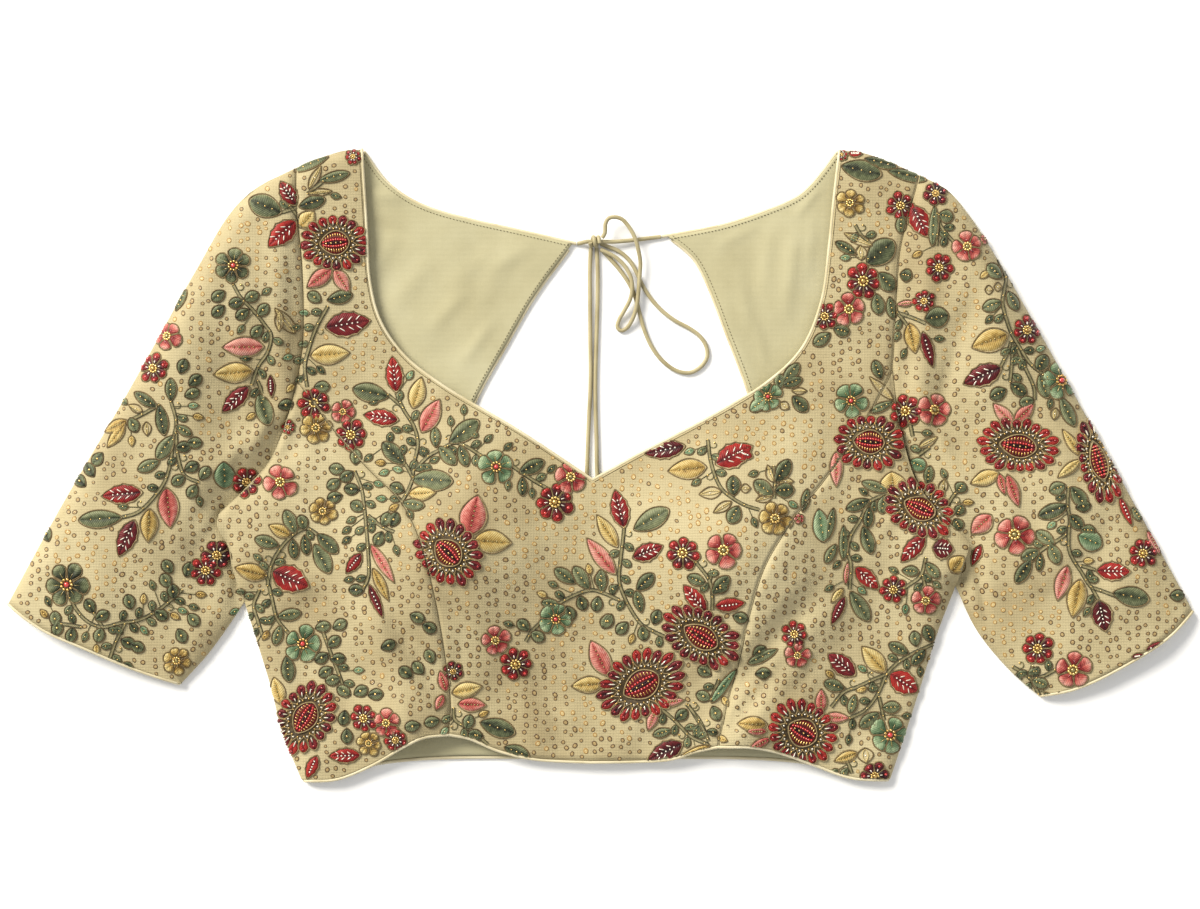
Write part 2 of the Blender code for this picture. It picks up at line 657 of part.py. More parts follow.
def end_knot(collection, side, tail):
    """The small knot that ends a tail, just below its last point."""
    last, before = np.array(tail[-1]), np.array(tail[-2])
    ahead = (last - before) / np.linalg.norm(last - before)
    centre = last + ahead * (END_KNOT / 2 + GAP)
    mesh = bpy.data.meshes.new(f"tie_end_{side}")
    work = bmesh.new()
    bmesh.ops.create_uvsphere(work, u_segments=12, v_segments=8, radius=END_KNOT / 2 * MM)
    work.to_mesh(mesh)
    work.free()
    mesh.shade_smooth()
    made = place(collection, f"tie_end_{side}", mesh, "cord")
    made.location = (centre[0] * MM, centre[1] * MM, (END_KNOT / 2 + 0.05) * MM)


def tie(collection):
    tube(collection, "tie_bridge", smooth(BRIDGE, even(BRIDGE_STEPS)), CORD, "cord", resolution=2)
    tie_knot(collection)
    small, large = even(SMALL_LOOP_STEPS), even(LARGE_LOOP_STEPS)
    tube(collection, "tie_loop_small", smooth(LOOP_SMALL, small), CORD, "cord", resolution=2)
    tube(collection, "tie_loop_large", smooth(LOOP_LARGE, large), CORD, "cord", resolution=2)
    for side, tail in (("right", TAIL_RIGHT), ("left", TAIL_LEFT)):
        route = smooth(tail, even(TAIL_STEPS))
        tube(collection, f"tie_tail_{side}", route, CORD, "cord", resolution=2)
        end_knot(collection, side, tail)


def main():
    for old in list(bpy.data.objects):
        bpy.data.objects.remove(old)
    collection = bpy.data.collections.new("blouse")
    bpy.context.scene.collection.children.link(collection)
    front_centre(collection)
    for side in OUTWARD:
        front_side(collection, side)
        back(collection, side)
        back_lining(collection, side)
        sleeve(collection, side)
        neck_piping_back(collection, side)
        sleeve_piping(collection, side)
    neck_piping_front(collection)
    keyhole_piping(collection)
    hem_piping(collection)
    tie(collection)


main()
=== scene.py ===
"""Looks of an embroidered saree blouse, laid flat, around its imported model.

The wearer's right side lies at -X and the shoulders at +Y. Tables and helpers work in millimetres,
and the meshes are written in metres. Cloth, trim and needlework all take their height from one
function of their place over the floor, so that each lies on what carries it.
"""

import math

import bmesh
import bpy
import numpy as np
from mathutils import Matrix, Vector
from mathutils.bvhtree import BVHTree

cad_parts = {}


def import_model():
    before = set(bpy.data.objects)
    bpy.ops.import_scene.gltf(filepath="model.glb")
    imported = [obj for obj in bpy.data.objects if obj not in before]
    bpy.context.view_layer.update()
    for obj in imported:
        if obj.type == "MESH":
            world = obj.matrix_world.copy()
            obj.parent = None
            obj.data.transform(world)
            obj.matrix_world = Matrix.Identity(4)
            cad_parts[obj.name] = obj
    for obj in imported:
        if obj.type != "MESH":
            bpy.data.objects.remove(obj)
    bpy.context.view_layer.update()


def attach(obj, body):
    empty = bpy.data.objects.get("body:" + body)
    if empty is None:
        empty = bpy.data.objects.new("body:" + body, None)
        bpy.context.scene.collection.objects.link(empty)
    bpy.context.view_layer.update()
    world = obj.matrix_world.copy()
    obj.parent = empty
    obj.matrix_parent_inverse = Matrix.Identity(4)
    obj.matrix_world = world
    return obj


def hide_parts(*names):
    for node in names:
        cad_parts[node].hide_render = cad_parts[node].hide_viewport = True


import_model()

MM = 0.001

# In the meshes: points closer than the first are one, a sleeve's lower layer lies below the second,
# and its points closer than the third are joined.
SAME_POINT = 0.00001
LOWEST_LAYER = 0.0002
LOW_JOIN = 0.0006

# Sizes that the solids share.
TOP_WALL = 1.4
BACK_WALL = 1.2
LINING_WALL = 1.0
GAP = 0.3
PIPING = 2.0
PIPING_INSET = PIPING / 2
LINING_INSET = 4.0
CORD = 2.5
LINING_BASE = BACK_WALL + GAP
BACK_PIPING_HEIGHT = 1.25
FOLD_HEIGHT = BACK_WALL + GAP + 1.0
LOWEST_FRONT_PIPING = BACK_PIPING_HEIGHT + PIPING + 0.35
REST_HEIGHT = 7.0
SLEEVE_FLOOR_PIPING = PIPING / 2 + 0.1
SIDE_ROUND = 11.0
SHOULDER_ROUND = 8.0
SLEEVE_ROUND = 13.0
FLAP_STEP = 5.0
FLAP_REACH = 11.0
FLAP_START = 62.0
FLAP_FULL = 30.0
MITRE_LIMIT = 0.4

# The dressed cloth runs into its piping and closes its seams.
CLOTH_INSET = 1.5
POINT_INSET = 1.25 * CLOTH_INSET
SEAM_HALF = 0.05
SEAM_DIP = 1.3
SEAM_PUCKER = 0.15
SEAM_DIP_REACH = 2.2
SEAM_DEPTHS = {"princess": SEAM_PUCKER, "armhole": SEAM_DIP, "armhole_low": SEAM_DIP, "flap": SEAM_DIP}
ROUNDINGS = (
    ("side", SIDE_ROUND, 16),
    ("shoulder", SHOULDER_ROUND, 8),
    ("sleeve_outer", SLEEVE_ROUND, 24),
    ("sleeve_lower", SLEEVE_ROUND, 8),
)

NECK_POINT = (-4.5, -7.3)
HEM_MIDDLE = (-6.0, -181.2)
KEYHOLE_FOOT = (0.0, -94.0)
BACK_HEM_MIDDLE = (0.0, -178.7)
OUTWARD = {"right": -1, "left": 1}

# The picture's frame: its size in pixels, a pixel's size, and the pixel over the origin.
FRAME_WIDTH, FRAME_HEIGHT = 1200, 909
PIXEL = 0.61
ORIGIN_PIXEL = (600, 466)
CAMERA_DISTANCE = 2200.0
CAMERA_SEES = (0.05, 20)
SENSOR = 36.0

# Plan outlines of each side as (x, y), from the shoulder down, or from the middle out.
OUTLINES = {
    "right": {
        "neckline": (
            (-144, 192.8), (-141, 145), (-139, 112), (-132.7, 88.5), (-118, 67.5),
            (-94.6, 49.4), (-48.8, 22.1), NECK_POINT,
        ),
        "shoulder": ((-144, 192.8), (-155, 192), (-170, 187.5), (-184.8, 181.8)),
        "armhole": (
            (-184.8, 181.8), (-184, 155), (-181, 126), (-180, 98), (-180.6, 74.4), (-184, 52),
        ),
        "armhole_low": ((-184, 52), (-187.6, 37), (-192.5, 22)),
        "flap": ((-192.5, 22), (-201, 3), (-213, -11), (-231.8, -29.3)),
        "under_flap": ((-192.5, 22), (-200, -3), (-207, -29), (-212, -55), (-216.6, -83)),
        "overlap": ((-231.8, -29.3), (-232.5, -37), (-226, -48), (-223.5, -62), (-216.6, -83)),
        "side": ((-216.6, -83), (-207.4, -112), (-200, -136.6), (-194, -161), (-181.2, -192.8)),
        "princess": (
            (-184, 52), (-160, 20), (-138, -4), (-120.8, -20.7), (-109, -43), (-100, -77),
            (-93.3, -118), (-90.5, -146), (-92.1, -164),
        ),
        "hem_middle": (HEM_MIDDLE, (-39.7, -179.3), (-62.8, -173.9), (-80, -166.5), (-92.1, -164)),
        "hem_side": (
            (-92.1, -164), (-107, -165.6), (-117, -170.2), (-138.5, -183), (-160, -191.5),
            (-181.2, -192.8),
        ),
        "sleeve_outer": (
            (-184.8, 181.8), (-210.5, 168.4), (-225, 154), (-245.8, 119.6), (-286.7, 46.4),
            (-329.4, -26.8), (-361.1, -84.8),
        ),
        "sleeve_lower": ((-216.6, -83), (-228, -100), (-240, -116), (-256.2, -133.6)),
        "sleeve_hem": (
            (-256.2, -133.6), (-283.7, -124.4), (-312.3, -112.2), (-339.8, -100), (-361.1, -84.8),
        ),
        "back_neck": (
            (-143.1, 192.2), (-130.2, 174.8), (-116, 164), (-101.3, 157.4), (-78.3, 151),
            (-49.4, 144.6), (-14.3, 136.6),
        ),
        "keyhole": (
            (-14.3, 136.6), (-38.1, 104.3), (-56.7, 72.6), (-75.6, 38), (-88, 6), (-90, -28),
            (-76, -62), (-45, -85), KEYHOLE_FOOT,
        ),
        "back_hem": (
            BACK_HEM_MIDDLE, (-104.9, -179.3), (-138.5, -183), (-165, -190), (-181.2, -192.8),
        ),
    },
    "left": {
        "neckline": (
            (144.8, 192.2), (141.2, 161.8), (138, 130), (134, 101.3), (122.4, 72.6),
            (102.2, 52.5), (62, 28), (26.8, 9.8), NECK_POINT,
        ),
        "shoulder": ((144.8, 192.2), (156, 191.5), (175, 185.5), (194, 177.4)),
        "armhole": ((194, 177.4), (186.7, 151.3), (182, 132), (180, 110), (179, 88), (177.5, 58)),
        "armhole_low": ((177.5, 58), (179.5, 41), (182.5, 24)),
        "flap": ((182.5, 24), (191.5, -7.3), (203.7, -25.6), (225.1, -47)),
        "under_flap": ((182.5, 24), (190, 0), (200, -26), (209, -50), (216.6, -73.2)),
        "overlap": ((225.1, -47), (222.5, -55), (219.5, -64), (216.6, -73.2)),
        "side": ((216.6, -73.2), (206.2, -100), (194.6, -136.6), (186.7, -161), (176.3, -192.2)),
        "princess": (
            (177.5, 58), (158, 22), (136, -8), (115.9, -32.9), (98.8, -61), (89.1, -93.3),
            (83, -122.6), (76, -148), (71.4, -171.5),
        ),
        "hem_middle": (HEM_MIDDLE, (34.2, -180.3), (45.8, -178.7), (58, -174.5), (71.4, -171.5)),
        "hem_side": (
            (71.4, -171.5), (92, -171.6), (108.6, -175.1), (128, -182), (152, -190.5),
            (176.3, -192.2),
        ),
        "sleeve_outer": (
            (194, 177.4), (211, 168.4), (226, 151), (245.8, 119.6), (287.3, 46.4),
            (327.6, -26.8), (361.7, -89.1),
        ),
        "sleeve_lower": ((216.6, -73.2), (229.4, -100), (249.5, -124.4), (268.4, -140.9)),
        "sleeve_hem": ((268.4, -140.9), (289, -136.6), (315.4, -124.4), (346, -105), (361.7, -89.1)),
        "back_neck": (
            (144, 192.2), (128.1, 172), (119.6, 164.7), (98, 155.3), (76.3, 148.2), (56.1, 144),
            (37.5, 140.9),
        ),
        "keyhole": (
            (37.5, 140.9), (46, 135), (56, 126), (63.1, 113.5), (76.3, 79.9), (89.3, 45.1),
            (98, 10), (98, -25), (80, -62), (45, -85), KEYHOLE_FOOT,
        ),
        "back_hem": (BACK_HEM_MIDDLE, (96.4, -179.3), (128.1, -182.4), (158, -190), (176.3, -192.2)),
    },
}

# Soft swellings of the top layer: x, y, reach along, reach across, turn in degrees, rise.
SWELLS = (
    (-86, -48, 66, 58, 80, 23),
    (82, -52, 66, 58, 100, 23),
    (-6, -90, 60, 40, 90, 3),
    (-118, -156, 30, 20, 150, 9),
    (92, -160, 32, 20, 20, 8),
    (-162, 120, 60, 26, 90, 3.5),
    (162, 116, 60, 26, 90, 3.5),
    (-206, -45, 40, 24, 70, 5),
    (204, -50, 40, 24, 110, 5),
    (-232, 92, 78, 34, 62, 10),
    (234, 92, 78, 34, 118, 10),
    (-290, -45, 78, 42, 60, 8),
    (290, -48, 78, 42, 120, 8),
)

# Folds of the top layer: start x, start y, end x, end y, half width, rise (below 0 is a trough).
FOLDS = (
    (-150, -76, -100, -160, 9, 3.0),
    (-134, -70, -84, -150, 7, -2.5),
    (156, -76, 74, -160, 9, 3.0),
    (138, -66, 62, -158, 7, -2.5),
    (-196, 158, -193, 30, 6, 3.0),
    (-186, 150, -184, 40, 4, -1.8),
    (200, 150, 192, -6, 6, 3.0),
    (188, 140, 184, 20, 4, -1.8),
    (-236, -8, -184, 44, 7, 3.0),
    (-222, -24, -176, 22, 6, -2.0),
    (236, -22, 186, 40, 7, 3.0),
    (222, -38, 180, 14, 6, -2.0),
    (-262, -62, -232, 20, 9, 2.4),
    (262, -80, 238, 4, 9, 2.6),
    (-206, -92, -172, -66, 8, 2.0),
    (206, -88, 172, -64, 8, 2.0),
)

# Finer creases, which the solids leave out, in the same columns.
CREASES = (
    (-212, 20, -176, 34, 3.0, 0.9),
    (-224, -30, -196, 10, 3.0, -0.9),
    (-205, -20, -150, -30, 4.0, 0.8),
    (-214, -60, -160, -58, 4.0, -0.7),
    (204, 20, 172, 36, 3.0, 0.9),
    (218, -36, 190, 6, 3.0, -0.9),
    (200, -30, 150, -36, 4.0, 0.8),
    (208, -62, 160, -66, 4.0, -0.7),
    (-118, -92, -100, -158, 4.0, 1.0),
    (-84, -96, -88, -160, 4.0, -0.8),
    (74, -112, 66, -168, 4.0, 1.0),
    (108, -96, 84, -168, 4.0, -0.9),
    (-238, 150, -206, 88, 5.0, 0.9),
    (-246, 60, -214, 8, 5.0, -0.8),
    (238, 146, 210, 80, 5.0, 0.9),
    (250, 52, 214, 2, 5.0, -0.8),
    (-330, -60, -276, -92, 6.0, 0.8),
    (-300, 0, -250, -40, 6.0, -0.7),
    (328, -62, 280, -96, 6.0, 0.8),
    (302, 2, 248, -44, 6.0, -0.7),
    (-60, -150, 50, -156, 8.0, 0.7),
    (-50, -26, 40, -30, 9.0, 0.6),
    (150, -84, 70, -168, 4.0, -1.5),
    (132, -56, 58, -140, 3.6, 1.2),
    (148, -108, 96, -172, 4.4, 1.3),
    (96, -92, 58, -132, 3.4, -1.1),
    (-148, -62, -96, -132, 4.0, -1.3),
    (-140, -98, -108, -172, 4.2, 1.3),
    (-122, -70, -88, -128, 3.4, 1.0),
    (-178, 26, -140, -24, 5.0, -1.1),
    (178, 24, 142, -30, 5.0, -1.1),
    (-198, 4, -160, -52, 4.0, 1.2),
    (196, -2, 160, -58, 4.0, 1.2),
    (-236, -36, -206, 34, 4.2, -1.4),
    (-250, -50, -214, 4, 4.0, 1.2),
    (238, -46, 208, 28, 4.2, -1.4),
    (252, -60, 216, -4, 4.0, 1.2),
    (-232, 128, -206, 40, 4.6, -1.2),
    (-222, 92, -212, 20, 3.8, 1.0),
    (232, 126, 208, 36, 4.6, -1.2),
    (224, 88, 212, 16, 3.8, 1.0),
    (-318, -28, -262, -86, 5.0, -1.1),
    (318, -30, 262, -90, 5.0, -1.1),
    (-174, -120, -150, -176, 5.0, 1.0),
    (170, -118, 140, -176, 5.0, 1.0),
    (-40, -120, -20, -176, 7.0, -0.8),
    (30, -116, 16, -176, 7.0, 0.8),
    (124, -104, 66, -172, 2.6, -2.4),
    (132, -110, 76, -176, 4.4, 1.4),
    (-132, -84, -98, -146, 2.6, -2.2),
    (-124, -78, -90, -140, 4.4, 1.2),
    (224, -30, 236, -98, 3.4, -2.4),
    (-228, -32, -218, -86, 3.4, -2.2),
    (-212, 78, -196, 10, 3.0, -1.6),
    (214, 74, 200, 4, 3.0, -1.6),
    (110, -40, 64, -112, 6.0, -1.0),
    (-112, -36, -74, -112, 6.0, -1.0),
    (-238, 108, -212, 12, 10.0, -2.4),
    (-264, 98, -244, 6, 9.0, 1.8),
    (-254, -12, -236, -92, 9.0, -2.0),
    (-284, 2, -262, -104, 9.0, 1.4),
    (-318, -20, -300, -96, 7.0, 1.2),
    (222, 112, 212, 14, 8.0, -2.4),
    (244, 112, 234, 10, 8.0, 1.8),
    (266, 60, 252, -30, 8.0, -1.6),
    (286, 20, 272, -86, 8.0, 1.6),
    (308, -20, 300, -100, 7.0, -1.4),
)
# Soft creases of the lining: start x, start y, end x, end y, half width, rise.
LINING_CREASES = (
    (-141, 167, -122, 162, 3.5, 1.0),
    (-138, 110, -96, 70, 9, 0.9),
    (-100, 150, -60, 60, 12, 0.8),
    (-60, 142, -30, 112, 7, 0.7),
    (130, 160, 96, 80, 10, 0.9),
    (66, 134, 96, 60, 8, 0.8),
    (110, 160, 122, 90, 7, 0.7),
    (-140, 150, -112, 138, 3.0, -0.5),
    (-136, 178, -118, 158, 3.0, 0.7),
    (-72, 150, -84, 90, 7, -0.5),
    (-52, 140, -72, 96, 6, 0.6),
    (84, 150, 104, 84, 6, -0.5),
    (136, 172, 118, 150, 3.0, 0.7),
    (70, 110, 92, 50, 5, 0.6),
    (-130, 92, -100, 130, 4.5, 0.9),
    (-106, 80, -76, 114, 5.0, 0.9),
    (-94, 106, -64, 134, 4.0, 0.8),
    (-139, 116, -124, 144, 4.0, 0.9),
    (-86, 60, -64, 90, 4.0, 0.8),
    (-72, 116, -38, 137, 3.5, 0.7),
    (105, 152, 98, 98, 4.0, 1.0),
    (119, 142, 112, 82, 3.5, 1.0),
    (84, 122, 93, 74, 4.0, 0.9),
    (129, 152, 126, 110, 3.0, 0.8),
    (70, 133, 98, 147, 3.5, 0.7),
    (95, 90, 101, 56, 3.0, 0.8),
)

# Shallow waves all over the cloth, and the share of them in the lining.
RIPPLE_SEED = 7
RIPPLE_COUNT = 26
RIPPLE_LENGTHS = (16.0, 58.0)
RIPPLE_RISE = 0.13
LINING_RIPPLE = 0.4
FOLD_FULLNESS = 1.3

# How finely the dressed cloth is cut.
SPAN_STEPS = 16
SEAM_STEPS = 18
NECK_ROWS = 60
MIDDLE_ROWS = 40
CENTRE_COLUMNS = 40
ARMHOLE_ROWS = 30
SIDE_COLUMNS = 40
SIDE_TIP = 0.04
SIDE_EDGE_STEPS = {"armhole_low": 12, "flap": 16, "overlap": 16, "side": 44}
BACK_COLUMNS = 44
BACK_NECK_ROWS = 32
KEYHOLE_ROWS = 56
BACK_MIDDLE_ROWS = 16
UNDERARM_STEPS = {"armhole": 28, "armhole_low": 10, "under_flap": 21}
SLEEVE_ROWS = 50
FLAP_STEPS = 12
TRIM_STEPS = 90
HEM_STEPS = {"hem_middle": 40, "hem_side": 50, "back_hem": 40}
SLEEVE_HEM_STEPS = 50

# How much closer rows lie at the start of a neckline, of an armhole, and at the end of a flap.
NECK_CLOSER = 1.2
ARMHOLE_CLOSER = 1.5
UNDERARM_CLOSER = 1.7
UNDER_FLAP_CLOSER = 1.5
OVERLAP_CLOSER = 1.8

# The outer faces of the worn cloth with a number for each piece, and those of the lining.
CLOTH_GRIDS = []
LINING_GRIDS = []


def even(count):
    """Shares from 0 to 1 in equal steps."""
    return np.linspace(0, 1, count + 1)


def from_start(count, power):
    """Shares from 0 to 1 that lie closer near 0."""
    return even(count) ** power


def to_end(count, power):
    """Shares from 0 to 1 that lie closer near 1."""
    return 1 - (1 - even(count)) ** power


def both_ends(count):
    """Shares from 0 to 1 that lie closer near both."""
    return (1 - np.cos(math.pi * even(count))) / 2


def run_along(line):
    """How far along a line each of its points lies."""
    return np.concatenate([[0], np.cumsum(np.linalg.norm(np.diff(line, axis=0), axis=1))])


def smooth(points, shares):
    """A smooth curve through the points, read at shares of its length."""
    p = np.array(points, float)
    root = np.linalg.norm(np.diff(p, axis=0), axis=1)[:, None] ** 0.5
    slope = np.diff(p, axis=0) / root
    inner = (slope[:-1] * root[1:] + slope[1:] * root[:-1]) / (root[:-1] + root[1:])
    tangent = np.vstack([slope[:1], inner, slope[-1:]])
    t = np.linspace(0, 1, SPAN_STEPS, endpoint=False)[:, None]
    spans = []
    for i in range(len(p) - 1):
        rise = p[i + 1] - p[i]
        leave, arrive = tangent[i] * root[i], tangent[i + 1] * root[i]
        bend = 3 * rise - 2 * leave - arrive
        twist = leave + arrive - 2 * rise
        spans.append(p[i] + t * leave + t**2 * bend + t**3 * twist)
    fine = np.vstack([*spans, p[-1:]])
    along = run_along(fine)
    at = along[-1] * np.asarray(shares)
    return np.stack([np.interp(at, along, fine[:, k]) for k in range(p.shape[1])], axis=1)


def outline(side, name, shares):
    """A side's outline as a smooth curve, read at shares of its length."""
    return smooth(OUTLINES[side][name], shares)


def chain(*runs):
    """Runs that share their end points, as one line."""
    return np.vstack([runs[0], *(run[1:] for run in runs[1:])])


def shifted(line, distance, side):
    """A plan line moved into the cloth that it bounds, mitred at its corners."""
    step = np.diff(line, axis=0)
    step = step / np.linalg.norm(step, axis=1)[:, None]
    normal = np.stack([-step[:, 1], step[:, 0]], axis=1)
    before = np.vstack([normal[:1], normal])
    after = np.vstack([normal, normal[-1:]])
    mean = before + after
    mean = mean / np.linalg.norm(mean, axis=1)[:, None]
    reach = np.maximum(np.sum(mean * after, axis=1), MITRE_LIMIT)
    return line + OUTWARD[side] * distance * mean / reach[:, None]


def fitted(line, start, end):
    """A line whose ends are moved to start and end, and its middle with them."""
    share = np.linspace(0, 1, len(line))[:, None]
    return line + (1 - share) * (start - line[0]) + share * (end - line[-1])


def patch(inner, outer, top, bottom, across):
    """Plan points between four lines: each row runs from the inner line to the outer one."""
    top = fitted(top, inner[0], outer[0])
    bottom = fitted(bottom, inner[-1], outer[-1])
    t = np.linspace(0, 1, len(inner))[:, None, None]
    s = across[None, :, None]
    ruled = (1 - s) * inner[:, None] + s * outer[:, None]
    ends = (1 - t) * top[None] + t * bottom[None]
    first = (1 - s) * inner[0] + s * outer[0]
    last = (1 - s) * inner[-1] + s * outer[-1]
    return ruled + ends - (1 - t) * first - t * last


def nearest(line, points):
    """How far each plan point lies from a line."""
    start, along = line[:-1], np.diff(line, axis=0)
    share = ((points[:, None] - start) * along).sum(axis=2) / (along**2).sum(axis=1)
    foot = start + np.clip(share, 0, 1)[..., None] * along
    return np.linalg.norm(points[:, None] - foot, axis=2).min(axis=1)


def inside(line, points):
    """Which plan points lie within a closed line, by counting the edges to their right."""
    x, y = points[:, 0, None], points[:, 1, None]
    x0, y0 = line[:, 0], line[:, 1]
    x1, y1 = np.roll(x0, -1), np.roll(y0, -1)
    level = np.where(y0 == y1, 1, y1 - y0)
    crossed = (y0 > y) != (y1 > y)
    return ((crossed & (x < x0 + (y - y0) * (x1 - x0) / level)).sum(axis=1) % 2) == 1


def rounded_edges():
    """The lines at which the top layer turns down, each with the width of its rounding."""
    return [
        (outline(side, name, even(count)), width) for side in OUTWARD for name, width, count in ROUNDINGS
    ]


def sewn_lines():
    """The seams that draw the top layer down, as plan lines with their depth."""
    return [
        (outline(side, name, even(SEAM_STEPS)), depth)
        for side in OUTWARD
        for name, depth in SEAM_DEPTHS.items()
    ]


def ripples():
    """Shallow waves of the cloth: direction, phase and rise of each."""
    draw = np.random.default_rng(RIPPLE_SEED)
    length = draw.uniform(*RIPPLE_LENGTHS, RIPPLE_COUNT)
    turn = draw.uniform(0, 2 * math.pi, RIPPLE_COUNT)
    way = np.stack([np.cos(turn), np.sin(turn)]) * 2 * math.pi / length
    phase = draw.uniform(0, 2 * math.pi, RIPPLE_COUNT)
    return way, phase, RIPPLE_RISE * length / RIPPLE_LENGTHS[1]


ROUNDED_EDGES = rounded_edges()
SEWN_LINES = sewn_lines()
RIPPLES = ripples()


def crease(flat, x0, y0, x1, y1, width, rise, fullness=1.0):
    """What one soft trough or ridge adds over plan points. It fades out towards its ends."""
    along = np.array([x1 - x0, y1 - y0], float)
    length = np.linalg.norm(along)
    share = (flat - [x0, y0]) @ along / length**2
    off = ((flat - [x0, y0]) @ [-along[1], along[0]]) / length
    fade = np.clip(fullness * (1 - (2 * share - 1) ** 2), 0, 1)
    return rise * fade * np.exp(-((off / width) ** 2))


def height(points):
    """The height of the top layer's outer face over plan points."""
    flat = points.reshape(-1, 2)
    z = np.full(len(flat), REST_HEIGHT)
    for x, y, along, across, turn, rise in SWELLS:
        c, s = math.cos(math.radians(turn)), math.sin(math.radians(turn))
        u = ((flat[:, 0] - x) * c + (flat[:, 1] - y) * s) / along
        v = ((flat[:, 1] - y) * c - (flat[:, 0] - x) * s) / across
        z += rise * np.exp(-(u**2) - v**2)
    for row in FOLDS + CREASES:
        z += crease(flat, *row, fullness=FOLD_FULLNESS)
    way, phase, rise = RIPPLES
    z += np.sin(flat @ way + phase) @ rise
    for line, depth in SEWN_LINES:
        z -= depth * np.exp(-((nearest(line, flat) / SEAM_DIP_REACH) ** 2))
    for line, width in ROUNDED_EDGES:
        near = np.clip(nearest(line, flat) / width, 0, 1)
        z = FOLD_HEIGHT + (z - FOLD_HEIGHT) * np.sqrt(1 - (1 - near) ** 2)
    return z.reshape(points.shape[:-1])


def sleeve_height(points, side):
    """The sleeve's height, which drops to pass below the flap of the body at the underarm."""
    flat = points.reshape(-1, 2)
    edge = chain(*(outline(side, name, even(FLAP_STEPS)) for name in ("flap", "overlap")))
    flap = np.vstack([edge, outline(side, "under_flap", even(FLAP_STEPS))[::-1]])
    away = np.where(inside(flap, flat), 0, nearest(edge, flat))
    share = np.clip((FLAP_START - flat[:, 1]) / (FLAP_START - FLAP_FULL), 0, 1)
    z = height(flat)
    low = np.clip((z - FOLD_HEIGHT) / FLAP_STEP, 0, 1)
    z -= FLAP_STEP * share * low * np.exp(-((away / FLAP_REACH) ** 2))
    return z.reshape(points.shape[:-1])


def raised(grid, z):
    """Plan points with their heights, in metres."""
    z = np.broadcast_to(z, grid.shape[:-1])
    return np.concatenate([grid, z[..., None]], axis=-1) * MM


def linear(red, green, blue):
    """A colour given in 0 to 255 as a screen shows it (sRGB), as the shader wants it."""
    shares = np.array([red, green, blue]) / 255
    light = np.where(shares < 0.04, shares / 12.92, ((shares + 0.055) / 1.055) ** 2.4)
    return (*(float(x) for x in light), 1)


# At scale 1 a wave texture repeats after about this many units, and satin stitch slants by degrees.
WAVE_LENGTH = 0.32
STITCH_SLANT = 38


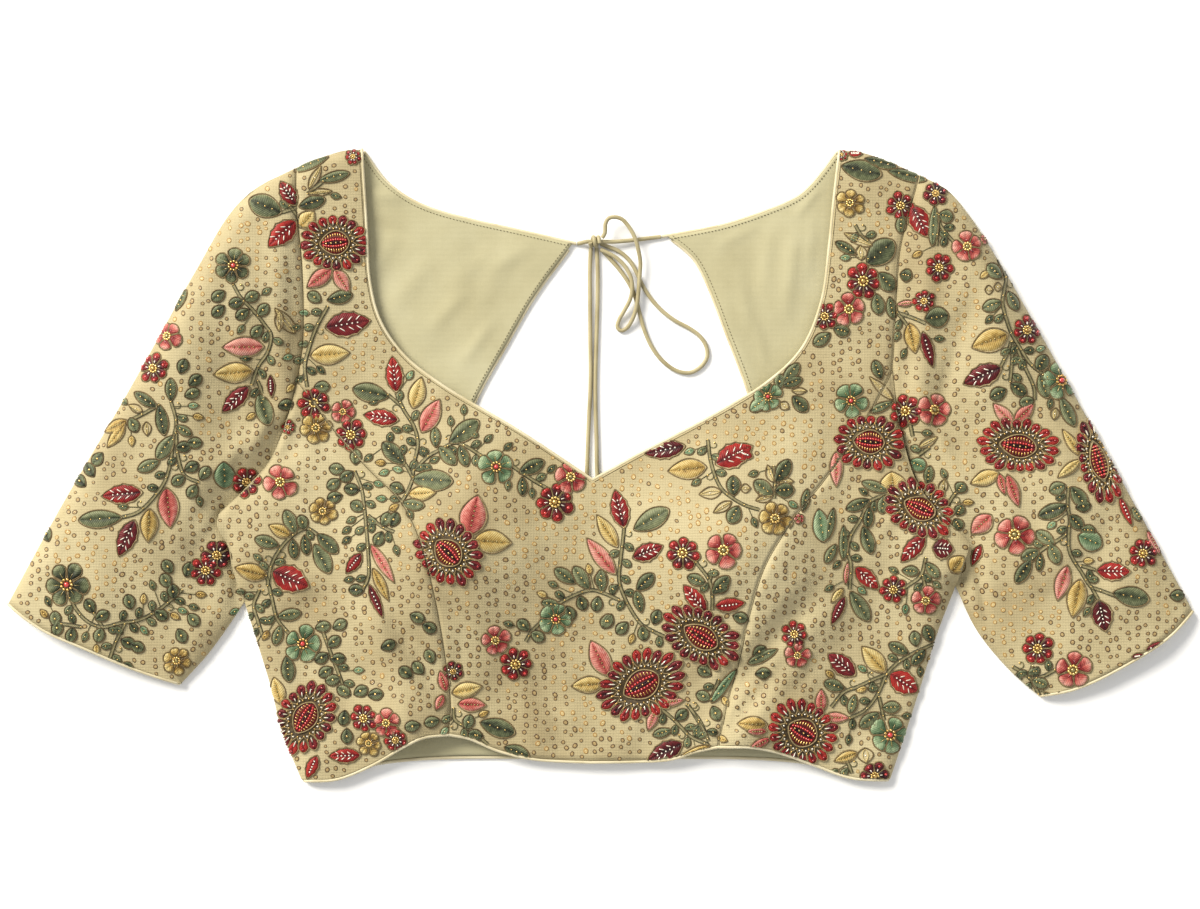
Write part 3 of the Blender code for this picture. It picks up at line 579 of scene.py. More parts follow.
class Look:
    """A node material, built from its shader backwards."""

    def __init__(self, name, roughness, metallic=0.0, sheen=0.0, specular=0.5, coat=0.0):
        self.material = bpy.data.materials.new(name)
        self.material.use_nodes = True
        self.tree = self.material.node_tree
        self.shader = self.tree.nodes["Principled BSDF"]
        self.shader.inputs["Roughness"].default_value = roughness
        self.shader.inputs["Metallic"].default_value = metallic
        self.shader.inputs["Sheen Weight"].default_value = sheen
        self.shader.inputs["Specular IOR Level"].default_value = specular
        self.shader.inputs["Coat Weight"].default_value = coat

    def feed(self, socket, value):
        """Links a socket to another one, or sets its value."""
        if isinstance(value, bpy.types.NodeSocket):
            self.tree.links.new(value, socket)
        else:
            socket.default_value = value

    def node(self, kind, **settings):
        """A node with its values set by socket name or property, and links where given a socket."""
        made = self.tree.nodes.new(kind)
        for key, value in settings.items():
            label = key.replace("_", " ")
            socket = made.inputs.get(label) or made.inputs.get(label.title())
            if socket is None:
                setattr(made, key, value)
            else:
                self.feed(socket, value)
        return made

    def mapped(self, source, scale, turn):
        """Coordinates, stretched and turned in their plane."""
        made = self.node("ShaderNodeMapping", Vector=source, Scale=scale)
        made.inputs["Rotation"].default_value = (0, 0, math.radians(turn))
        return made.outputs["Vector"]

    def place(self, scale=(1, 1, 1), turn=0.0):
        """The piece's own coordinates in metres."""
        return self.mapped(self.tree.nodes.new("ShaderNodeTexCoord").outputs["Object"], scale, turn)

    def thread(self, pitch):
        """The stitches' own coordinates, along and across them, scaled to their pitch in millimetres."""
        source = self.node("ShaderNodeUVMap", uv_map="thread").outputs["UV"]
        share = WAVE_LENGTH / pitch
        return self.mapped(source, (share, share, 1), STITCH_SLANT)

    def noise(self, place, scale, detail=3.0, roughness=0.5):
        """A cloudy share from 0 to 1."""
        values = {"Vector": place, "Scale": scale, "Detail": detail, "Roughness": roughness}
        made = self.node("ShaderNodeTexNoise", **values)
        return made.outputs["Fac"]

    def wave(self, place, scale, distortion=0.0, direction="X"):
        """A share that runs between 0 and 1 in bands."""
        made = self.node("ShaderNodeTexWave", Vector=place, Scale=scale, Distortion=distortion)
        made.bands_direction = direction
        return made.outputs["Fac"]

    def ramp(self, share, *stops):
        """Colours at their places along a share from 0 to 1."""
        made = self.tree.nodes.new("ShaderNodeValToRGB")
        self.tree.links.new(share, made.inputs["Fac"])
        band = made.color_ramp.elements
        while len(band) < len(stops):
            band.new(1)
        for element, (place, colour) in zip(band, stops):
            element.position = place
            element.color = colour
        return made.outputs["Color"]

    def shaded(self, share, base, shade):
        """A colour multiplied by a shade, as far as the share says."""
        made = self.tree.nodes.new("ShaderNodeMix")
        made.data_type = "RGBA"
        made.blend_type = "MULTIPLY"
        factor, first, second = (made.inputs[i] for i in (0, 6, 7))
        self.feed(factor, share)
        self.feed(first, base)
        self.feed(second, shade)
        return made.outputs[2]

    def maths(self, operation, first, second=0.5, third=0.5):
        """One sum of the Math node."""
        made = self.tree.nodes.new("ShaderNodeMath")
        made.operation = operation
        for value, socket in zip((first, second, third), made.inputs):
            self.feed(socket, value)
        return made.outputs[0]

    def tone(self):
        """How light each point of the needlework is, which its mesh carries."""
        return self.node("ShaderNodeAttribute", attribute_name="tone").outputs["Fac"]

    def colour(self, socket):
        self.tree.links.new(socket, self.shader.inputs["Base Color"])

    def rough(self, share, low, high):
        """Roughness that runs from low to high with the share."""
        made = self.tree.nodes.new("ShaderNodeMapRange")
        self.tree.links.new(share, made.inputs["Value"])
        made.inputs["To Min"].default_value = low
        made.inputs["To Max"].default_value = high
        self.tree.links.new(made.outputs["Result"], self.shader.inputs["Roughness"])

    def bump(self, share, depth):
        """Relief of a depth in millimetres."""
        made = self.node("ShaderNodeBump", Strength=1.0, Distance=depth * MM, Height=share)
        self.tree.links.new(made.outputs["Normal"], self.shader.inputs["Normal"])


WHITE = (1, 1, 1, 1)
# Thick threads of the cloth: noise cells to a metre along them and across them.
THREAD_RUN, THREAD_GAP = 260, 2600


def woven(look, weave_scale):
    """Crossing threads, as a height from 0 to 1."""
    place = look.place()
    warp = look.wave(place, weave_scale, 0.6, "X")
    weft = look.wave(place, weave_scale, 0.6, "Y")
    return look.maths("MULTIPLY_ADD", warp, weft, look.maths("MULTIPLY", weft, 0.4))


def cloth_look(name, shades, weave_scale, slub, depth, roughness, sheen):
    """Woven cloth: soft drifts between its shades, thicker threads here and there, and a weave."""
    look = Look(name, roughness, sheen=sheen, specular=0.35)
    dark, middle, light = (linear(*shade) for shade in shades)
    drift = look.noise(look.place(), scale=14, detail=4, roughness=0.6)
    base = look.ramp(drift, (0.3, dark), (0.5, middle), (0.72, light))
    threads = look.noise(look.place((THREAD_RUN, THREAD_GAP, THREAD_RUN)), scale=1, detail=2)
    crossing = look.noise(look.place((THREAD_GAP, THREAD_RUN, THREAD_RUN)), scale=1, detail=2)
    both = look.maths("ADD", look.maths("MULTIPLY", threads, 0.5), look.maths("MULTIPLY", crossing, 0.5))
    streak = look.ramp(both, (0.38, (1 - slub, 1 - slub, 1 - 1.3 * slub, 1)), (0.6, WHITE))
    look.colour(look.shaded(0.9, base, streak))
    weave = woven(look, weave_scale)
    look.rough(both, roughness - 0.1, roughness + 0.1)
    look.bump(look.maths("MULTIPLY_ADD", both, 0.8, look.maths("MULTIPLY", weave, 0.6)), depth)
    return look.material


def satin_look(name, shades, stripe_scale, turn, roughness):
    """Bias-cut satin trim with fine slanting threads."""
    look = Look(name, roughness, sheen=0.1, specular=0.35)
    dark, light = (linear(*shade) for shade in shades)
    drift = look.noise(look.place(), scale=60)
    stripe = look.wave(look.place(turn=turn), stripe_scale, distortion=1.5)
    share = look.maths("ADD", look.maths("MULTIPLY", drift, 0.8), look.maths("MULTIPLY", stripe, 0.2))
    look.colour(look.ramp(share, (0.25, dark), (0.6, light)))
    look.rough(share, roughness + 0.1, roughness - 0.1)
    look.bump(share, 0.04)
    return look.material


# Colour that darkens the grooves between satin threads: painted shade.
THREAD_GROOVE_SHADE = (0.55, 0.53, 0.48, 1)


def thread_look(name, shades, pitch=1.1, roughness=0.5):
    """Satin stitch: fine slanting threads with painted shade in the grooves between them, over shades
    that run from dark to light with the tone.
    """
    look = Look(name, roughness, sheen=0.08, specular=0.25)
    dark, middle, light = (linear(*shade) for shade in shades)
    patchy = look.noise(look.place(), scale=380, detail=4, roughness=0.7)
    share = look.maths("MULTIPLY_ADD", patchy, 1.1, look.maths("MULTIPLY_ADD", look.tone(), 0.85, -0.5))
    base = look.ramp(share, (0.08, dark), (0.45, middle), (0.85, light))
    threads = look.wave(look.thread(pitch), scale=1.0, distortion=0.8)
    # Painted shade in the grooves between the threads.
    lines = look.ramp(threads, (0.05, THREAD_GROOVE_SHADE), (0.6, WHITE))
    look.colour(look.shaded(0.85, base, lines))
    look.rough(threads, roughness + 0.12, roughness - 0.1)
    look.bump(look.maths("MULTIPLY_ADD", threads, 0.7, look.maths("MULTIPLY", patchy, 0.5)), 0.16)
    return look.material


def bead_look(name, shades, roughness, metallic=0.0, coat=0.6):
    """Glass or metal beads, no two quite alike, ramped dark to light by their tone: on round beads a
    painted shade at the foot and a painted highlight on top.
    """
    look = Look(name, roughness, metallic, specular=0.7, coat=coat)
    dark, middle, light = (linear(*shade) for shade in shades)
    varied = look.noise(look.place(), scale=700, detail=2)
    share = look.maths("MULTIPLY_ADD", varied, 0.6, look.maths("MULTIPLY_ADD", look.tone(), 0.8, -0.22))
    look.colour(look.ramp(share, (0.05, dark), (0.4, middle), (0.85, light)))
    look.rough(varied, roughness - 0.05, roughness + 0.15)
    look.bump(varied, 0.05)
    return look.material


def floor_look():
    """Matt white paper with a hardly visible cloudiness."""
    look = Look("floor_white", roughness=0.9, specular=0.1)
    grain = look.noise(look.place(), scale=3, detail=2)
    look.colour(look.ramp(grain, (0.3, (0.93, 0.93, 0.925, 1)), (0.7, (0.95, 0.95, 0.945, 1))))
    return look.material


MATERIALS = {
    "brocade": cloth_look(
        "brocade_cloth", ((158, 142, 104), (176, 162, 123), (190, 177, 138)), 330, 0.08, 0.2, 0.65, 0.05
    ),
    "lining": cloth_look(
        "lining_cloth", ((170, 162, 125), (179, 172, 136), (188, 182, 148)), 420, 0.04, 0.1, 0.7, 0.1
    ),
    "piping": satin_look("piping_satin", ((186, 171, 130), (212, 202, 170)), 700, 30, 0.45),
    "cord": satin_look("cord_satin", ((140, 128, 90), (176, 165, 128)), 700, 50, 0.45),
    "thread_sage": thread_look("thread_sage", ((28, 32, 16), (82, 89, 60), (130, 134, 98))),
    "thread_mint": thread_look("thread_mint", ((58, 80, 52), (106, 130, 94), (158, 174, 136))),
    "thread_red": thread_look("thread_red", ((48, 3, 6), (114, 12, 14), (168, 44, 35))),
    "thread_maroon": thread_look("thread_maroon", ((32, 2, 6), (78, 8, 14), (122, 30, 32))),
    "thread_pink": thread_look("thread_pink", ((120, 26, 26), (180, 90, 80), (210, 152, 136))),
    "thread_gold": thread_look("thread_gold", ((100, 74, 26), (176, 146, 78), (208, 188, 128))),
    "thread_cord": thread_look("thread_cord", ((70, 56, 32), (118, 99, 64), (164, 144, 104)), 0.7),
    "thread_stem": thread_look("thread_stem", ((44, 41, 22), (98, 92, 60), (150, 140, 102)), 0.8),
    "bead_red": bead_look("bead_red", ((50, 2, 8), (128, 10, 20), (200, 56, 50)), 0.14),
    "bead_gold": bead_look("bead_gold", ((96, 64, 22), (172, 130, 58), (226, 196, 120)), 0.28, 0.75),
    "bead_white": bead_look("bead_white", ((160, 148, 120), (206, 198, 176), (238, 232, 216)), 0.16),
    "bead_olive": bead_look("bead_olive", ((50, 42, 18), (106, 92, 44), (164, 150, 86)), 0.3, 0.4),
    # Both sequin looks are one gold sequin: the pale copy is painted light where the lamp catches it,
    # the bronze copy is painted shade.
    "sequin_shade_painted": bead_look(
        "sequin_shade_painted", ((66, 44, 14), (112, 84, 36), (176, 152, 100)), 0.6, 0.15, 0.1
    ),
    "sequin_lit_painted": bead_look(
        "sequin_lit_painted", ((140, 104, 44), (170, 136, 72), (196, 178, 128)), 0.6, 0.1, 0.1
    ),
    "stitch": thread_look("stitch_thread", ((60, 50, 28), (84, 72, 42), (110, 96, 62)), 0.5, 0.7),
}


def place(name, data, looks, node=None, slot=None):
    """An object that rides on the blouse and takes its finish, and stands for a node if given one."""
    made = bpy.data.objects.new(name, data)
    for look in looks:
        data.materials.append(MATERIALS[look])
    bpy.context.scene.collection.objects.link(made)
    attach(made, "root")
    slot or looks[0]
    if node:
        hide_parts(node)
    return made


def joined_grids(grids, ring):
    """Faces over grids of points, joined where they meet. Each row of a ring is closed."""
    work = bmesh.new()
    for grid in grids:
        rows, columns = grid.shape[:2]
        points = [[work.verts.new(p) for p in row] for row in grid]
        for i in range(rows - 1):
            for j in range(columns if ring else columns - 1):
                k = (j + 1) % columns
                work.faces.new((points[i][j], points[i + 1][j], points[i + 1][k], points[i][k]))
    bmesh.ops.remove_doubles(work, verts=work.verts, dist=SAME_POINT)
    if ring:
        low = [vertex for vertex in work.verts if vertex.co.z < LOWEST_LAYER]
        bmesh.ops.remove_doubles(work, verts=low, dist=LOW_JOIN)
    else:
        bmesh.ops.recalc_face_normals(work, faces=work.faces)
    return work


def face_outward(work, ring):
    """Turns the faces over if cloth looks down, or if the lower layer of a ring looks up."""
    work.normal_update()
    outward = 0.0
    for face in work.faces:
        way = -float(face.calc_center_median().z < LOWEST_LAYER) if ring else 1
        outward += face.calc_area() * face.normal.z * way
    if outward < 0:
        bmesh.ops.reverse_faces(work, faces=work.faces)


def shell(name, node, grids, wall, looks, ring=False):
    """A wall of cloth that hangs below its outer face, lined where a second look is given."""
    work = joined_grids(grids, ring)
    face_outward(work, ring)
    area = sum(face.calc_area() for face in work.faces)
    mesh = bpy.data.meshes.new(name)
    work.to_mesh(mesh)
    work.free()
    mesh.shade_smooth()
    made = place(name, mesh, looks, node)
    solid = made.modifiers.new("Wall", "SOLIDIFY")
    solid.thickness = wall * MM
    solid.offset = -1
    solid.material_offset = len(looks) - 1
    return made, area


TUBE_RESOLUTION = 3


def tube(name, node, route, diameter, look, closed=False):
    """A round strip or cord along a route in millimetres."""
    data = bpy.data.curves.new(name, "CURVE")
    data.dimensions = "3D"
    data.bevel_depth = diameter / 2 * MM
    data.bevel_resolution = TUBE_RESOLUTION
    data.use_fill_caps = not closed
    spline = data.splines.new("POLY")
    spline.points.add(len(route) - 1)
    for point, (x, y, z) in zip(spline.points, route):
        point.co = (x * MM, y * MM, z * MM, 1)
    spline.use_cyclic_u = closed
    spline.use_smooth = True
    return place(name, data, [look], node)


def camera():
    """Straight above the middle of the picture's frame, with +Y up."""
    data = bpy.data.cameras.new("camera")
    data.sensor_width = SENSOR
    data.sensor_fit = "HORIZONTAL"
    data.lens = SENSOR * CAMERA_DISTANCE / (FRAME_WIDTH * PIXEL)
    data.clip_start, data.clip_end = CAMERA_SEES
    made = bpy.data.objects.new("camera", data)
    x = (FRAME_WIDTH / 2 - ORIGIN_PIXEL[0]) * PIXEL
    y = (ORIGIN_PIXEL[1] - FRAME_HEIGHT / 2) * PIXEL
    made.location = (x * MM, y * MM, CAMERA_DISTANCE * MM)
    bpy.context.scene.collection.objects.link(made)
    bpy.context.scene.camera = made


# The tie cord, in x, y, z.
KNOT_CENTRE = (-3.1, 136.6, 4.3)
BRIDGE = (
    (-13.85, 135.6, 1.35), (-12.6, 135.7, 1.4), (-10.2, 136.2, 2.9), (-7.8, 136.6, 4.2),
    (-6.2, 136.6, 4.3), KNOT_CENTRE, (0, 136.6, 4.3), (2, 136.6, 4.25), (8, 136.6, 3.7),
    (20, 137.6, 2.5), (33, 139.3, 1.4), (35.8, 139.6, 1.35), (37.2, 139.8, 1.35),
)
LOOP_SMALL = (
    (1.3, 138.9, 6.5), (2.8, 141.0, 7.0), (3.2, 144.0, 7.0), (3.3, 147.2, 7.0), (5.2, 150.6, 7.0),
    (9.2, 151.4, 7.0), (13.4, 150.1, 7.0), (17.6, 145.4, 7.0), (21.1, 139.1, 7.0),
    (23.2, 132.1, 6.2), (24.6, 123.8, 4.8), (24.0, 114.6, 4.3), (23.4, 106.3, 4.3),
    (22.4, 97.8, 4.2), (19.8, 89.4, 3.2), (16.4, 84.2, 1.6), (12.9, 82.4, 1.3), (10.6, 84.6, 1.3),
    (11.6, 89.0, 1.6), (14.8, 94.6, 3.0), (18.3, 101.3, 4.2), (19.6, 107.6, 4.3),
    (19.0, 113.9, 4.3), (15.9, 120.6, 4.3), (10.4, 126.4, 4.4), (4.6, 129.8, 4.5),
    (1.6, 131.2, 4.5), (0.2, 131.8, 4.5),
)
LOOP_LARGE = (
    (0.3, 135.7, 1.35), (2.8, 134.6, 1.3), (6.2, 133.2, 1.3), (10.6, 131.4, 1.3),
    (15.8, 127.6, 1.3), (19.8, 122.8, 1.3), (22.6, 117.4, 1.3), (25.8, 110.4, 1.3),
    (30.6, 102.7, 1.3), (37.4, 95.0, 1.3), (45.6, 88.7, 1.3), (54.7, 83.8, 1.3),
    (61.1, 78.9, 1.3), (64.9, 72.6, 1.3), (65.3, 66.3, 1.3), (61.7, 60.7, 1.3),
    (56.1, 57.2, 1.3), (50.2, 57.0, 1.3), (44.0, 59.4, 1.3), (37.2, 65.0, 1.3),
    (31.6, 72.6, 1.3), (27.5, 81.7, 1.3), (24.4, 92.2, 1.3), (21.8, 102.0, 1.3),
    (18.0, 110.8, 1.3), (12.6, 118.8, 1.3), (7.0, 125.4, 1.3), (3.4, 129.3, 1.3),
    (1.2, 132.0, 1.3),
)
TAIL_RIGHT = (
    (-5.6, 133.05, 1.3), (-6.2, 118, 1.3), (-6.1, 101.3, 1.3), (-5.9, 76, 1.3),
    (-5.7, 52.5, 1.3), (-6.6, 32, 1.3), (-7.3, 15.9, 1.3), (-8.0, -4, 1.3), (-9.4, -28, 1.3),
    (-11.6, -52, 1.3), (-12.4, -74, 1.3),
)
TAIL_LEFT = (
    (-2.0, 133.05, 1.3), (-1.4, 118, 1.3), (-1.5, 101.3, 1.3), (-2.2, 76, 1.3),
    (-2.8, 52.5, 1.3), (-2.6, 32, 1.3), (-2.1, 15.9, 1.3), (-1.8, -4, 1.3), (-0.4, -28, 1.3),
    (2.4, -50, 1.3), (3.2, -68, 1.3),
)
TAILS = {"right": TAIL_RIGHT, "left": TAIL_LEFT}
KNOT_TURNS = 2
KNOT_TURN_STEPS = 28
KNOT_START = 0.6 * math.pi
KNOT_PITCH = CORD + GAP + 0.1
END_KNOT = 5.6
END_KNOT_STEPS = 60
END_KNOT_LOOP, END_KNOT_LIFT = 0.62, 0.95
FLOOR_GAP = 0.05
BRIDGE_STEPS = 48
LOOP_STEPS = 96
TAIL_STEPS = 56


def tie_knot():
    """The cord wound round the bridge."""
    radius = CORD + GAP
    turn = even(KNOT_TURN_STEPS * KNOT_TURNS) * KNOT_TURNS
    angle = 2 * math.pi * turn + KNOT_START
    x = KNOT_CENTRE[0] + (turn - KNOT_TURNS / 2) * KNOT_PITCH
    y = KNOT_CENTRE[1] + radius * np.cos(angle)
    z = KNOT_CENTRE[2] + radius * np.sin(angle)
    return tube("cord_knot", "tie_knot", np.stack([x, y, z], axis=1), CORD, "cord")


def end_knot(side):
    """A small overhand knot at the end of a tail."""
    last, before = (np.array(TAILS[side][i]) for i in (-1, -2))
    ahead = (last - before) / np.linalg.norm(last - before)
    centre = last + ahead * (END_KNOT / 2 + GAP)
    t = 2 * math.pi * np.linspace(0, 1, END_KNOT_STEPS, endpoint=False)
    ring = END_KNOT_LOOP * (2 + np.cos(3 * t))
    x = centre[0] + ring * np.cos(2 * t)
    y = centre[1] + ring * np.sin(2 * t)
    z = END_KNOT / 2 + FLOOR_GAP + END_KNOT_LIFT * np.sin(3 * t)
    route = np.stack([x, y, z], axis=1)
    return tube(f"cord_end_{side}", f"tie_end_{side}", route, CORD, "cord", closed=True)


def tie():
    """The whole tie cord: its bridge with the knot, two loops, and two tails with their end knots."""
    route = smooth(BRIDGE, even(BRIDGE_STEPS))
    bridge = tube("cord_bridge", "tie_bridge", route, CORD, "cord")
    knot = tie_knot()
    for size, points in (("small", LOOP_SMALL), ("large", LOOP_LARGE)):
        route = smooth(points, even(LOOP_STEPS))
        loop = tube(f"cord_loop_{size}", f"tie_loop_{size}", route, CORD, "cord")
    for side in OUTWARD:
        route = smooth(TAILS[side], even(TAIL_STEPS))
        tail = tube(f"cord_tail_{side}", f"tie_tail_{side}", route, CORD, "cord")
        end_knot(side)


def front_centre_half(side):
    """Half of the front centre and its strap, from the neck and the middle out to the seam."""
    neck = shifted(outline(side, "neckline", from_start(NECK_ROWS, NECK_CLOSER)), CLOTH_INSET, side)
    foot = np.array(HEM_MIDDLE) + (0, CLOTH_INSET)
    point = np.array(NECK_POINT) - (0, POINT_INSET)
    middle = point + even(MIDDLE_ROWS)[:, None] * (foot - point)
    inner = chain(np.vstack([neck[:-1], point]), middle)
    armhole = outline(side, "armhole", from_start(ARMHOLE_ROWS, ARMHOLE_CLOSER))
    seam = outline(side, "princess", even(NECK_ROWS + MIDDLE_ROWS - ARMHOLE_ROWS))
    outer = shifted(chain(armhole, seam), -SEAM_HALF, side)
    across = even(CENTRE_COLUMNS)
    bottom = shifted(outline(side, "hem_middle", across), CLOTH_INSET, side)
    outer[-1] = bottom[-1]
    grid = patch(inner, outer, outline(side, "shoulder", across), bottom, across)
    return raised(grid, height(grid))


def front_centre():
    """The front centre with both straps, as one cloth."""
    grids = [front_centre_half(side) for side in OUTWARD]
    CLOTH_GRIDS.extend((grid, 0) for grid in grids)
    piece, area = shell("cloth_front_centre", "front_centre", grids, TOP_WALL, ["brocade", "lining"])


def front_side(side):
    """The side front, from the princess seam to the armhole, the flap and the side seam."""
    shares = {name: even(count) for name, count in SIDE_EDGE_STEPS.items()}
    shares["armhole_low"][0] = SIDE_TIP / 10
    shares["overlap"] = to_end(SIDE_EDGE_STEPS["overlap"], OVERLAP_CLOSER)
    edge = chain(*(outline(side, name, share) for name, share in shares.items()))
    outer = shifted(edge, -SEAM_HALF, side)
    down = even(len(edge) - 1)
    seam = outline(side, "princess", down + 0.1 * SIDE_TIP * (1 - down))
    inner = shifted(seam, SEAM_HALF, side)
    across = to_end(SIDE_COLUMNS, OVERLAP_CLOSER)
    bottom = shifted(outline(side, "hem_side", across), CLOTH_INSET, side)
    inner[-1], outer[-1] = bottom[0], bottom[-1]
    top = np.linspace(inner[0], outer[0], len(across))
    plan = patch(inner, outer, top, bottom, across)
    grid = raised(plan, height(plan))
    CLOTH_GRIDS.append((grid, len(CLOTH_GRIDS) + 1))
    looks = ["brocade", "lining"]
    piece, area = shell(f"cloth_side_{side}", f"front_side_{side}", [grid], TOP_WALL, looks)


def armhole_line(side):
    """The seam of sleeve and back, from the shoulder to the foot of the underarm."""
    return chain(
        outline(side, "armhole", from_start(UNDERARM_STEPS["armhole"], UNDERARM_CLOSER)),
        outline(side, "armhole_low", even(UNDERARM_STEPS["armhole_low"])),
        outline(side, "under_flap", to_end(UNDERARM_STEPS["under_flap"], UNDER_FLAP_CLOSER)),
    )


def back_grid(side, edge_inset, end_inset):
    """Plan points of half of the back, from the neck, keyhole and middle out to the side."""
    foot = np.array(KEYHOLE_FOOT)
    middle = foot + even(BACK_MIDDLE_ROWS)[:, None] * (np.array(BACK_HEM_MIDDLE) - foot)
    inner = chain(
        outline(side, "back_neck", from_start(BACK_NECK_ROWS, NECK_CLOSER)),
        outline(side, "keyhole", even(KEYHOLE_ROWS)),
        middle,
    )
    armhole = armhole_line(side)
    side_rows = len(inner) - len(armhole)
    outer = chain(armhole, outline(side, "side", even(side_rows)))
    inner = shifted(inner, CLOTH_INSET, side)
    inner[-BACK_MIDDLE_ROWS:, 0] = OUTWARD[side] * SEAM_HALF
    inner[-1, 1] += CLOTH_INSET
    outer = shifted(outer, -edge_inset, side)
    outer[0, 1] -= end_inset
    inner[0, 1] -= end_inset
    outer[-1, 1] += CLOTH_INSET
    across = even(BACK_COLUMNS)
    top, bottom = (outline(side, name, across) for name in ("shoulder", "back_hem"))
    return patch(inner, outer, top, bottom, across)


def back(side):
    """The outer cloth of half of the back, flat on the floor."""
    grid = raised(back_grid(side, SEAM_HALF, 0), BACK_WALL)
    piece, area = shell(f"cloth_back_{side}", f"back_{side}", [grid], BACK_WALL, ["brocade"])


def lining_height(plan):
    """The lining lies flat but for faint creases and a slow unevenness."""
    flat = plan.reshape(-1, 2)
    z = np.full(len(flat), LINING_BASE + LINING_WALL)
    for row in LINING_CREASES:
        z += crease(flat, *row)
    way, phase, rise = RIPPLES
    z += np.abs(np.sin(flat @ way + phase) @ rise) * LINING_RIPPLE
    return z.reshape(plan.shape[:-1])


def back_lining(side):
    """The lining of half of the back, drawn in from its edges."""
    plan = back_grid(side, LINING_INSET, LINING_INSET)
    grid = raised(plan, lining_height(plan))
    LINING_GRIDS.append(grid)
    name, node = f"lining_back_{side}", f"back_lining_{side}"
    piece, area = shell(name, node, [grid], LINING_WALL, ["lining"])


def sleeve(side):
    """A flattened tube: an upper layer that rounds down at both folds, and a flat lower layer."""
    armhole = shifted(armhole_line(side), SEAM_HALF, side)
    across = both_ends(len(armhole) - 1)
    along = even(SLEEVE_ROWS)
    hem = shifted(outline(side, "sleeve_hem", across), CLOTH_INSET, side)[::-1]
    upper_edge = outline(side, "sleeve_outer", along)
    lower_edge = outline(side, "sleeve_lower", along)
    upper_edge[-1], lower_edge[-1] = hem[0], hem[-1]
    plan = np.swapaxes(patch(armhole, hem, upper_edge, lower_edge, along), 0, 1)
    upper = raised(plan, sleeve_height(plan, side))
    CLOTH_GRIDS.append((upper, len(CLOTH_GRIDS) + 1))
    lower = raised(plan[:, -2:0:-1], 0)
    rings = np.concatenate([upper, lower], axis=1)
    name, node = f"cloth_sleeve_{side}", f"sleeve_{side}"
    piece, area = shell(name, node, [rings], TOP_WALL, ["brocade", "lining"], ring=True)


def top_edge_route(line):
    """Where piping runs beside the top layer's edge: at mid wall, never below the back's piping."""
    z = np.maximum(height(line) - TOP_WALL / 2, LOWEST_FRONT_PIPING)
    return np.concatenate([line, z[:, None]], axis=1)


def floor_route(line, z):
    """A plan line at one height."""
    return np.concatenate([line, np.full((len(line), 1), z)], axis=1)


def neck_piping():
    """Round the front neckline, and along each half of the back's."""
    steps = from_start(TRIM_STEPS, NECK_CLOSER)
    line = chain(outline("right", "neckline", steps), outline("left", "neckline", steps)[::-1])
    line = shifted(line, PIPING_INSET, "right")
    tube("piping_neck_front", "neck_piping_front", top_edge_route(line), PIPING, "piping")
    for side in OUTWARD:
        line = shifted(outline(side, "back_neck", steps), PIPING_INSET, side)
        route = floor_route(line, BACK_PIPING_HEIGHT)
        tube(f"piping_neck_back_{side}", f"neck_piping_back_{side}", route, PIPING, "piping")


def keyhole_piping():
    """Round the keyhole, from just below one tie corner to just below the other."""
    halves = {}
    for side in OUTWARD:
        half = shifted(outline(side, "keyhole", even(TRIM_STEPS)), PIPING_INSET, side)[2:]
        half[-1] = np.array(KEYHOLE_FOOT) - (0, PIPING_INSET)
        halves[side] = half
    line = chain(halves["right"], halves["left"][::-1])
    tube("piping_keyhole", "keyhole_piping", floor_route(line, BACK_PIPING_HEIGHT), PIPING, "piping")


def hem_piping():
    """One ring: along the front hem from right to left, round the corner and back under it."""
    front, under, corner = [], [], []
    turn = (LOWEST_FRONT_PIPING + BACK_PIPING_HEIGHT) / 2
    for side in OUTWARD:
        middle, outer, low = (outline(side, name, even(count)) for name, count in HEM_STEPS.items())
        front.append(shifted(chain(middle, outer), PIPING_INSET, side)[:-1])
        under.append(shifted(low, PIPING_INSET, side)[:-1])
        x, y = OUTLINES[side]["side"][-1]
        corner.append((x - OUTWARD[side] * PIPING_INSET, y + PIPING_INSET, turn))
    route = np.vstack([
        top_edge_route(np.vstack([front[0][::-1], front[1][1:]])),
        [corner[1]],
        floor_route(np.vstack([under[1][::-1], under[0][1:]]), BACK_PIPING_HEIGHT),
        [corner[0]],
    ])
    tube("piping_hem", "hem_piping", route, PIPING, "piping", closed=True)


def sleeve_piping(side):
    """A ring round the sleeve's opening, one wall's gap outside its hem."""
    line = shifted(outline(side, "sleeve_hem", both_ends(SLEEVE_HEM_STEPS)), PIPING_INSET, side)
    ends = line[[0, -1]].copy()
    middle = line[2:-2]
    turn = (LOWEST_FRONT_PIPING + SLEEVE_FLOOR_PIPING) / 2
    inward = (line[-1] - line[0]) / np.linalg.norm(line[-1] - line[0]) * PIPING_INSET
    ends[0] += inward
    ends[1] -= inward
    route = np.vstack([
        top_edge_route(middle),
        [[*ends[1], turn]],
        floor_route(middle[::-1], SLEEVE_FLOOR_PIPING),
        [[*ends[0], turn]],
    ])
    tube(f"piping_sleeve_{side}", f"sleeve_piping_{side}", route, PIPING, "piping", closed=True)


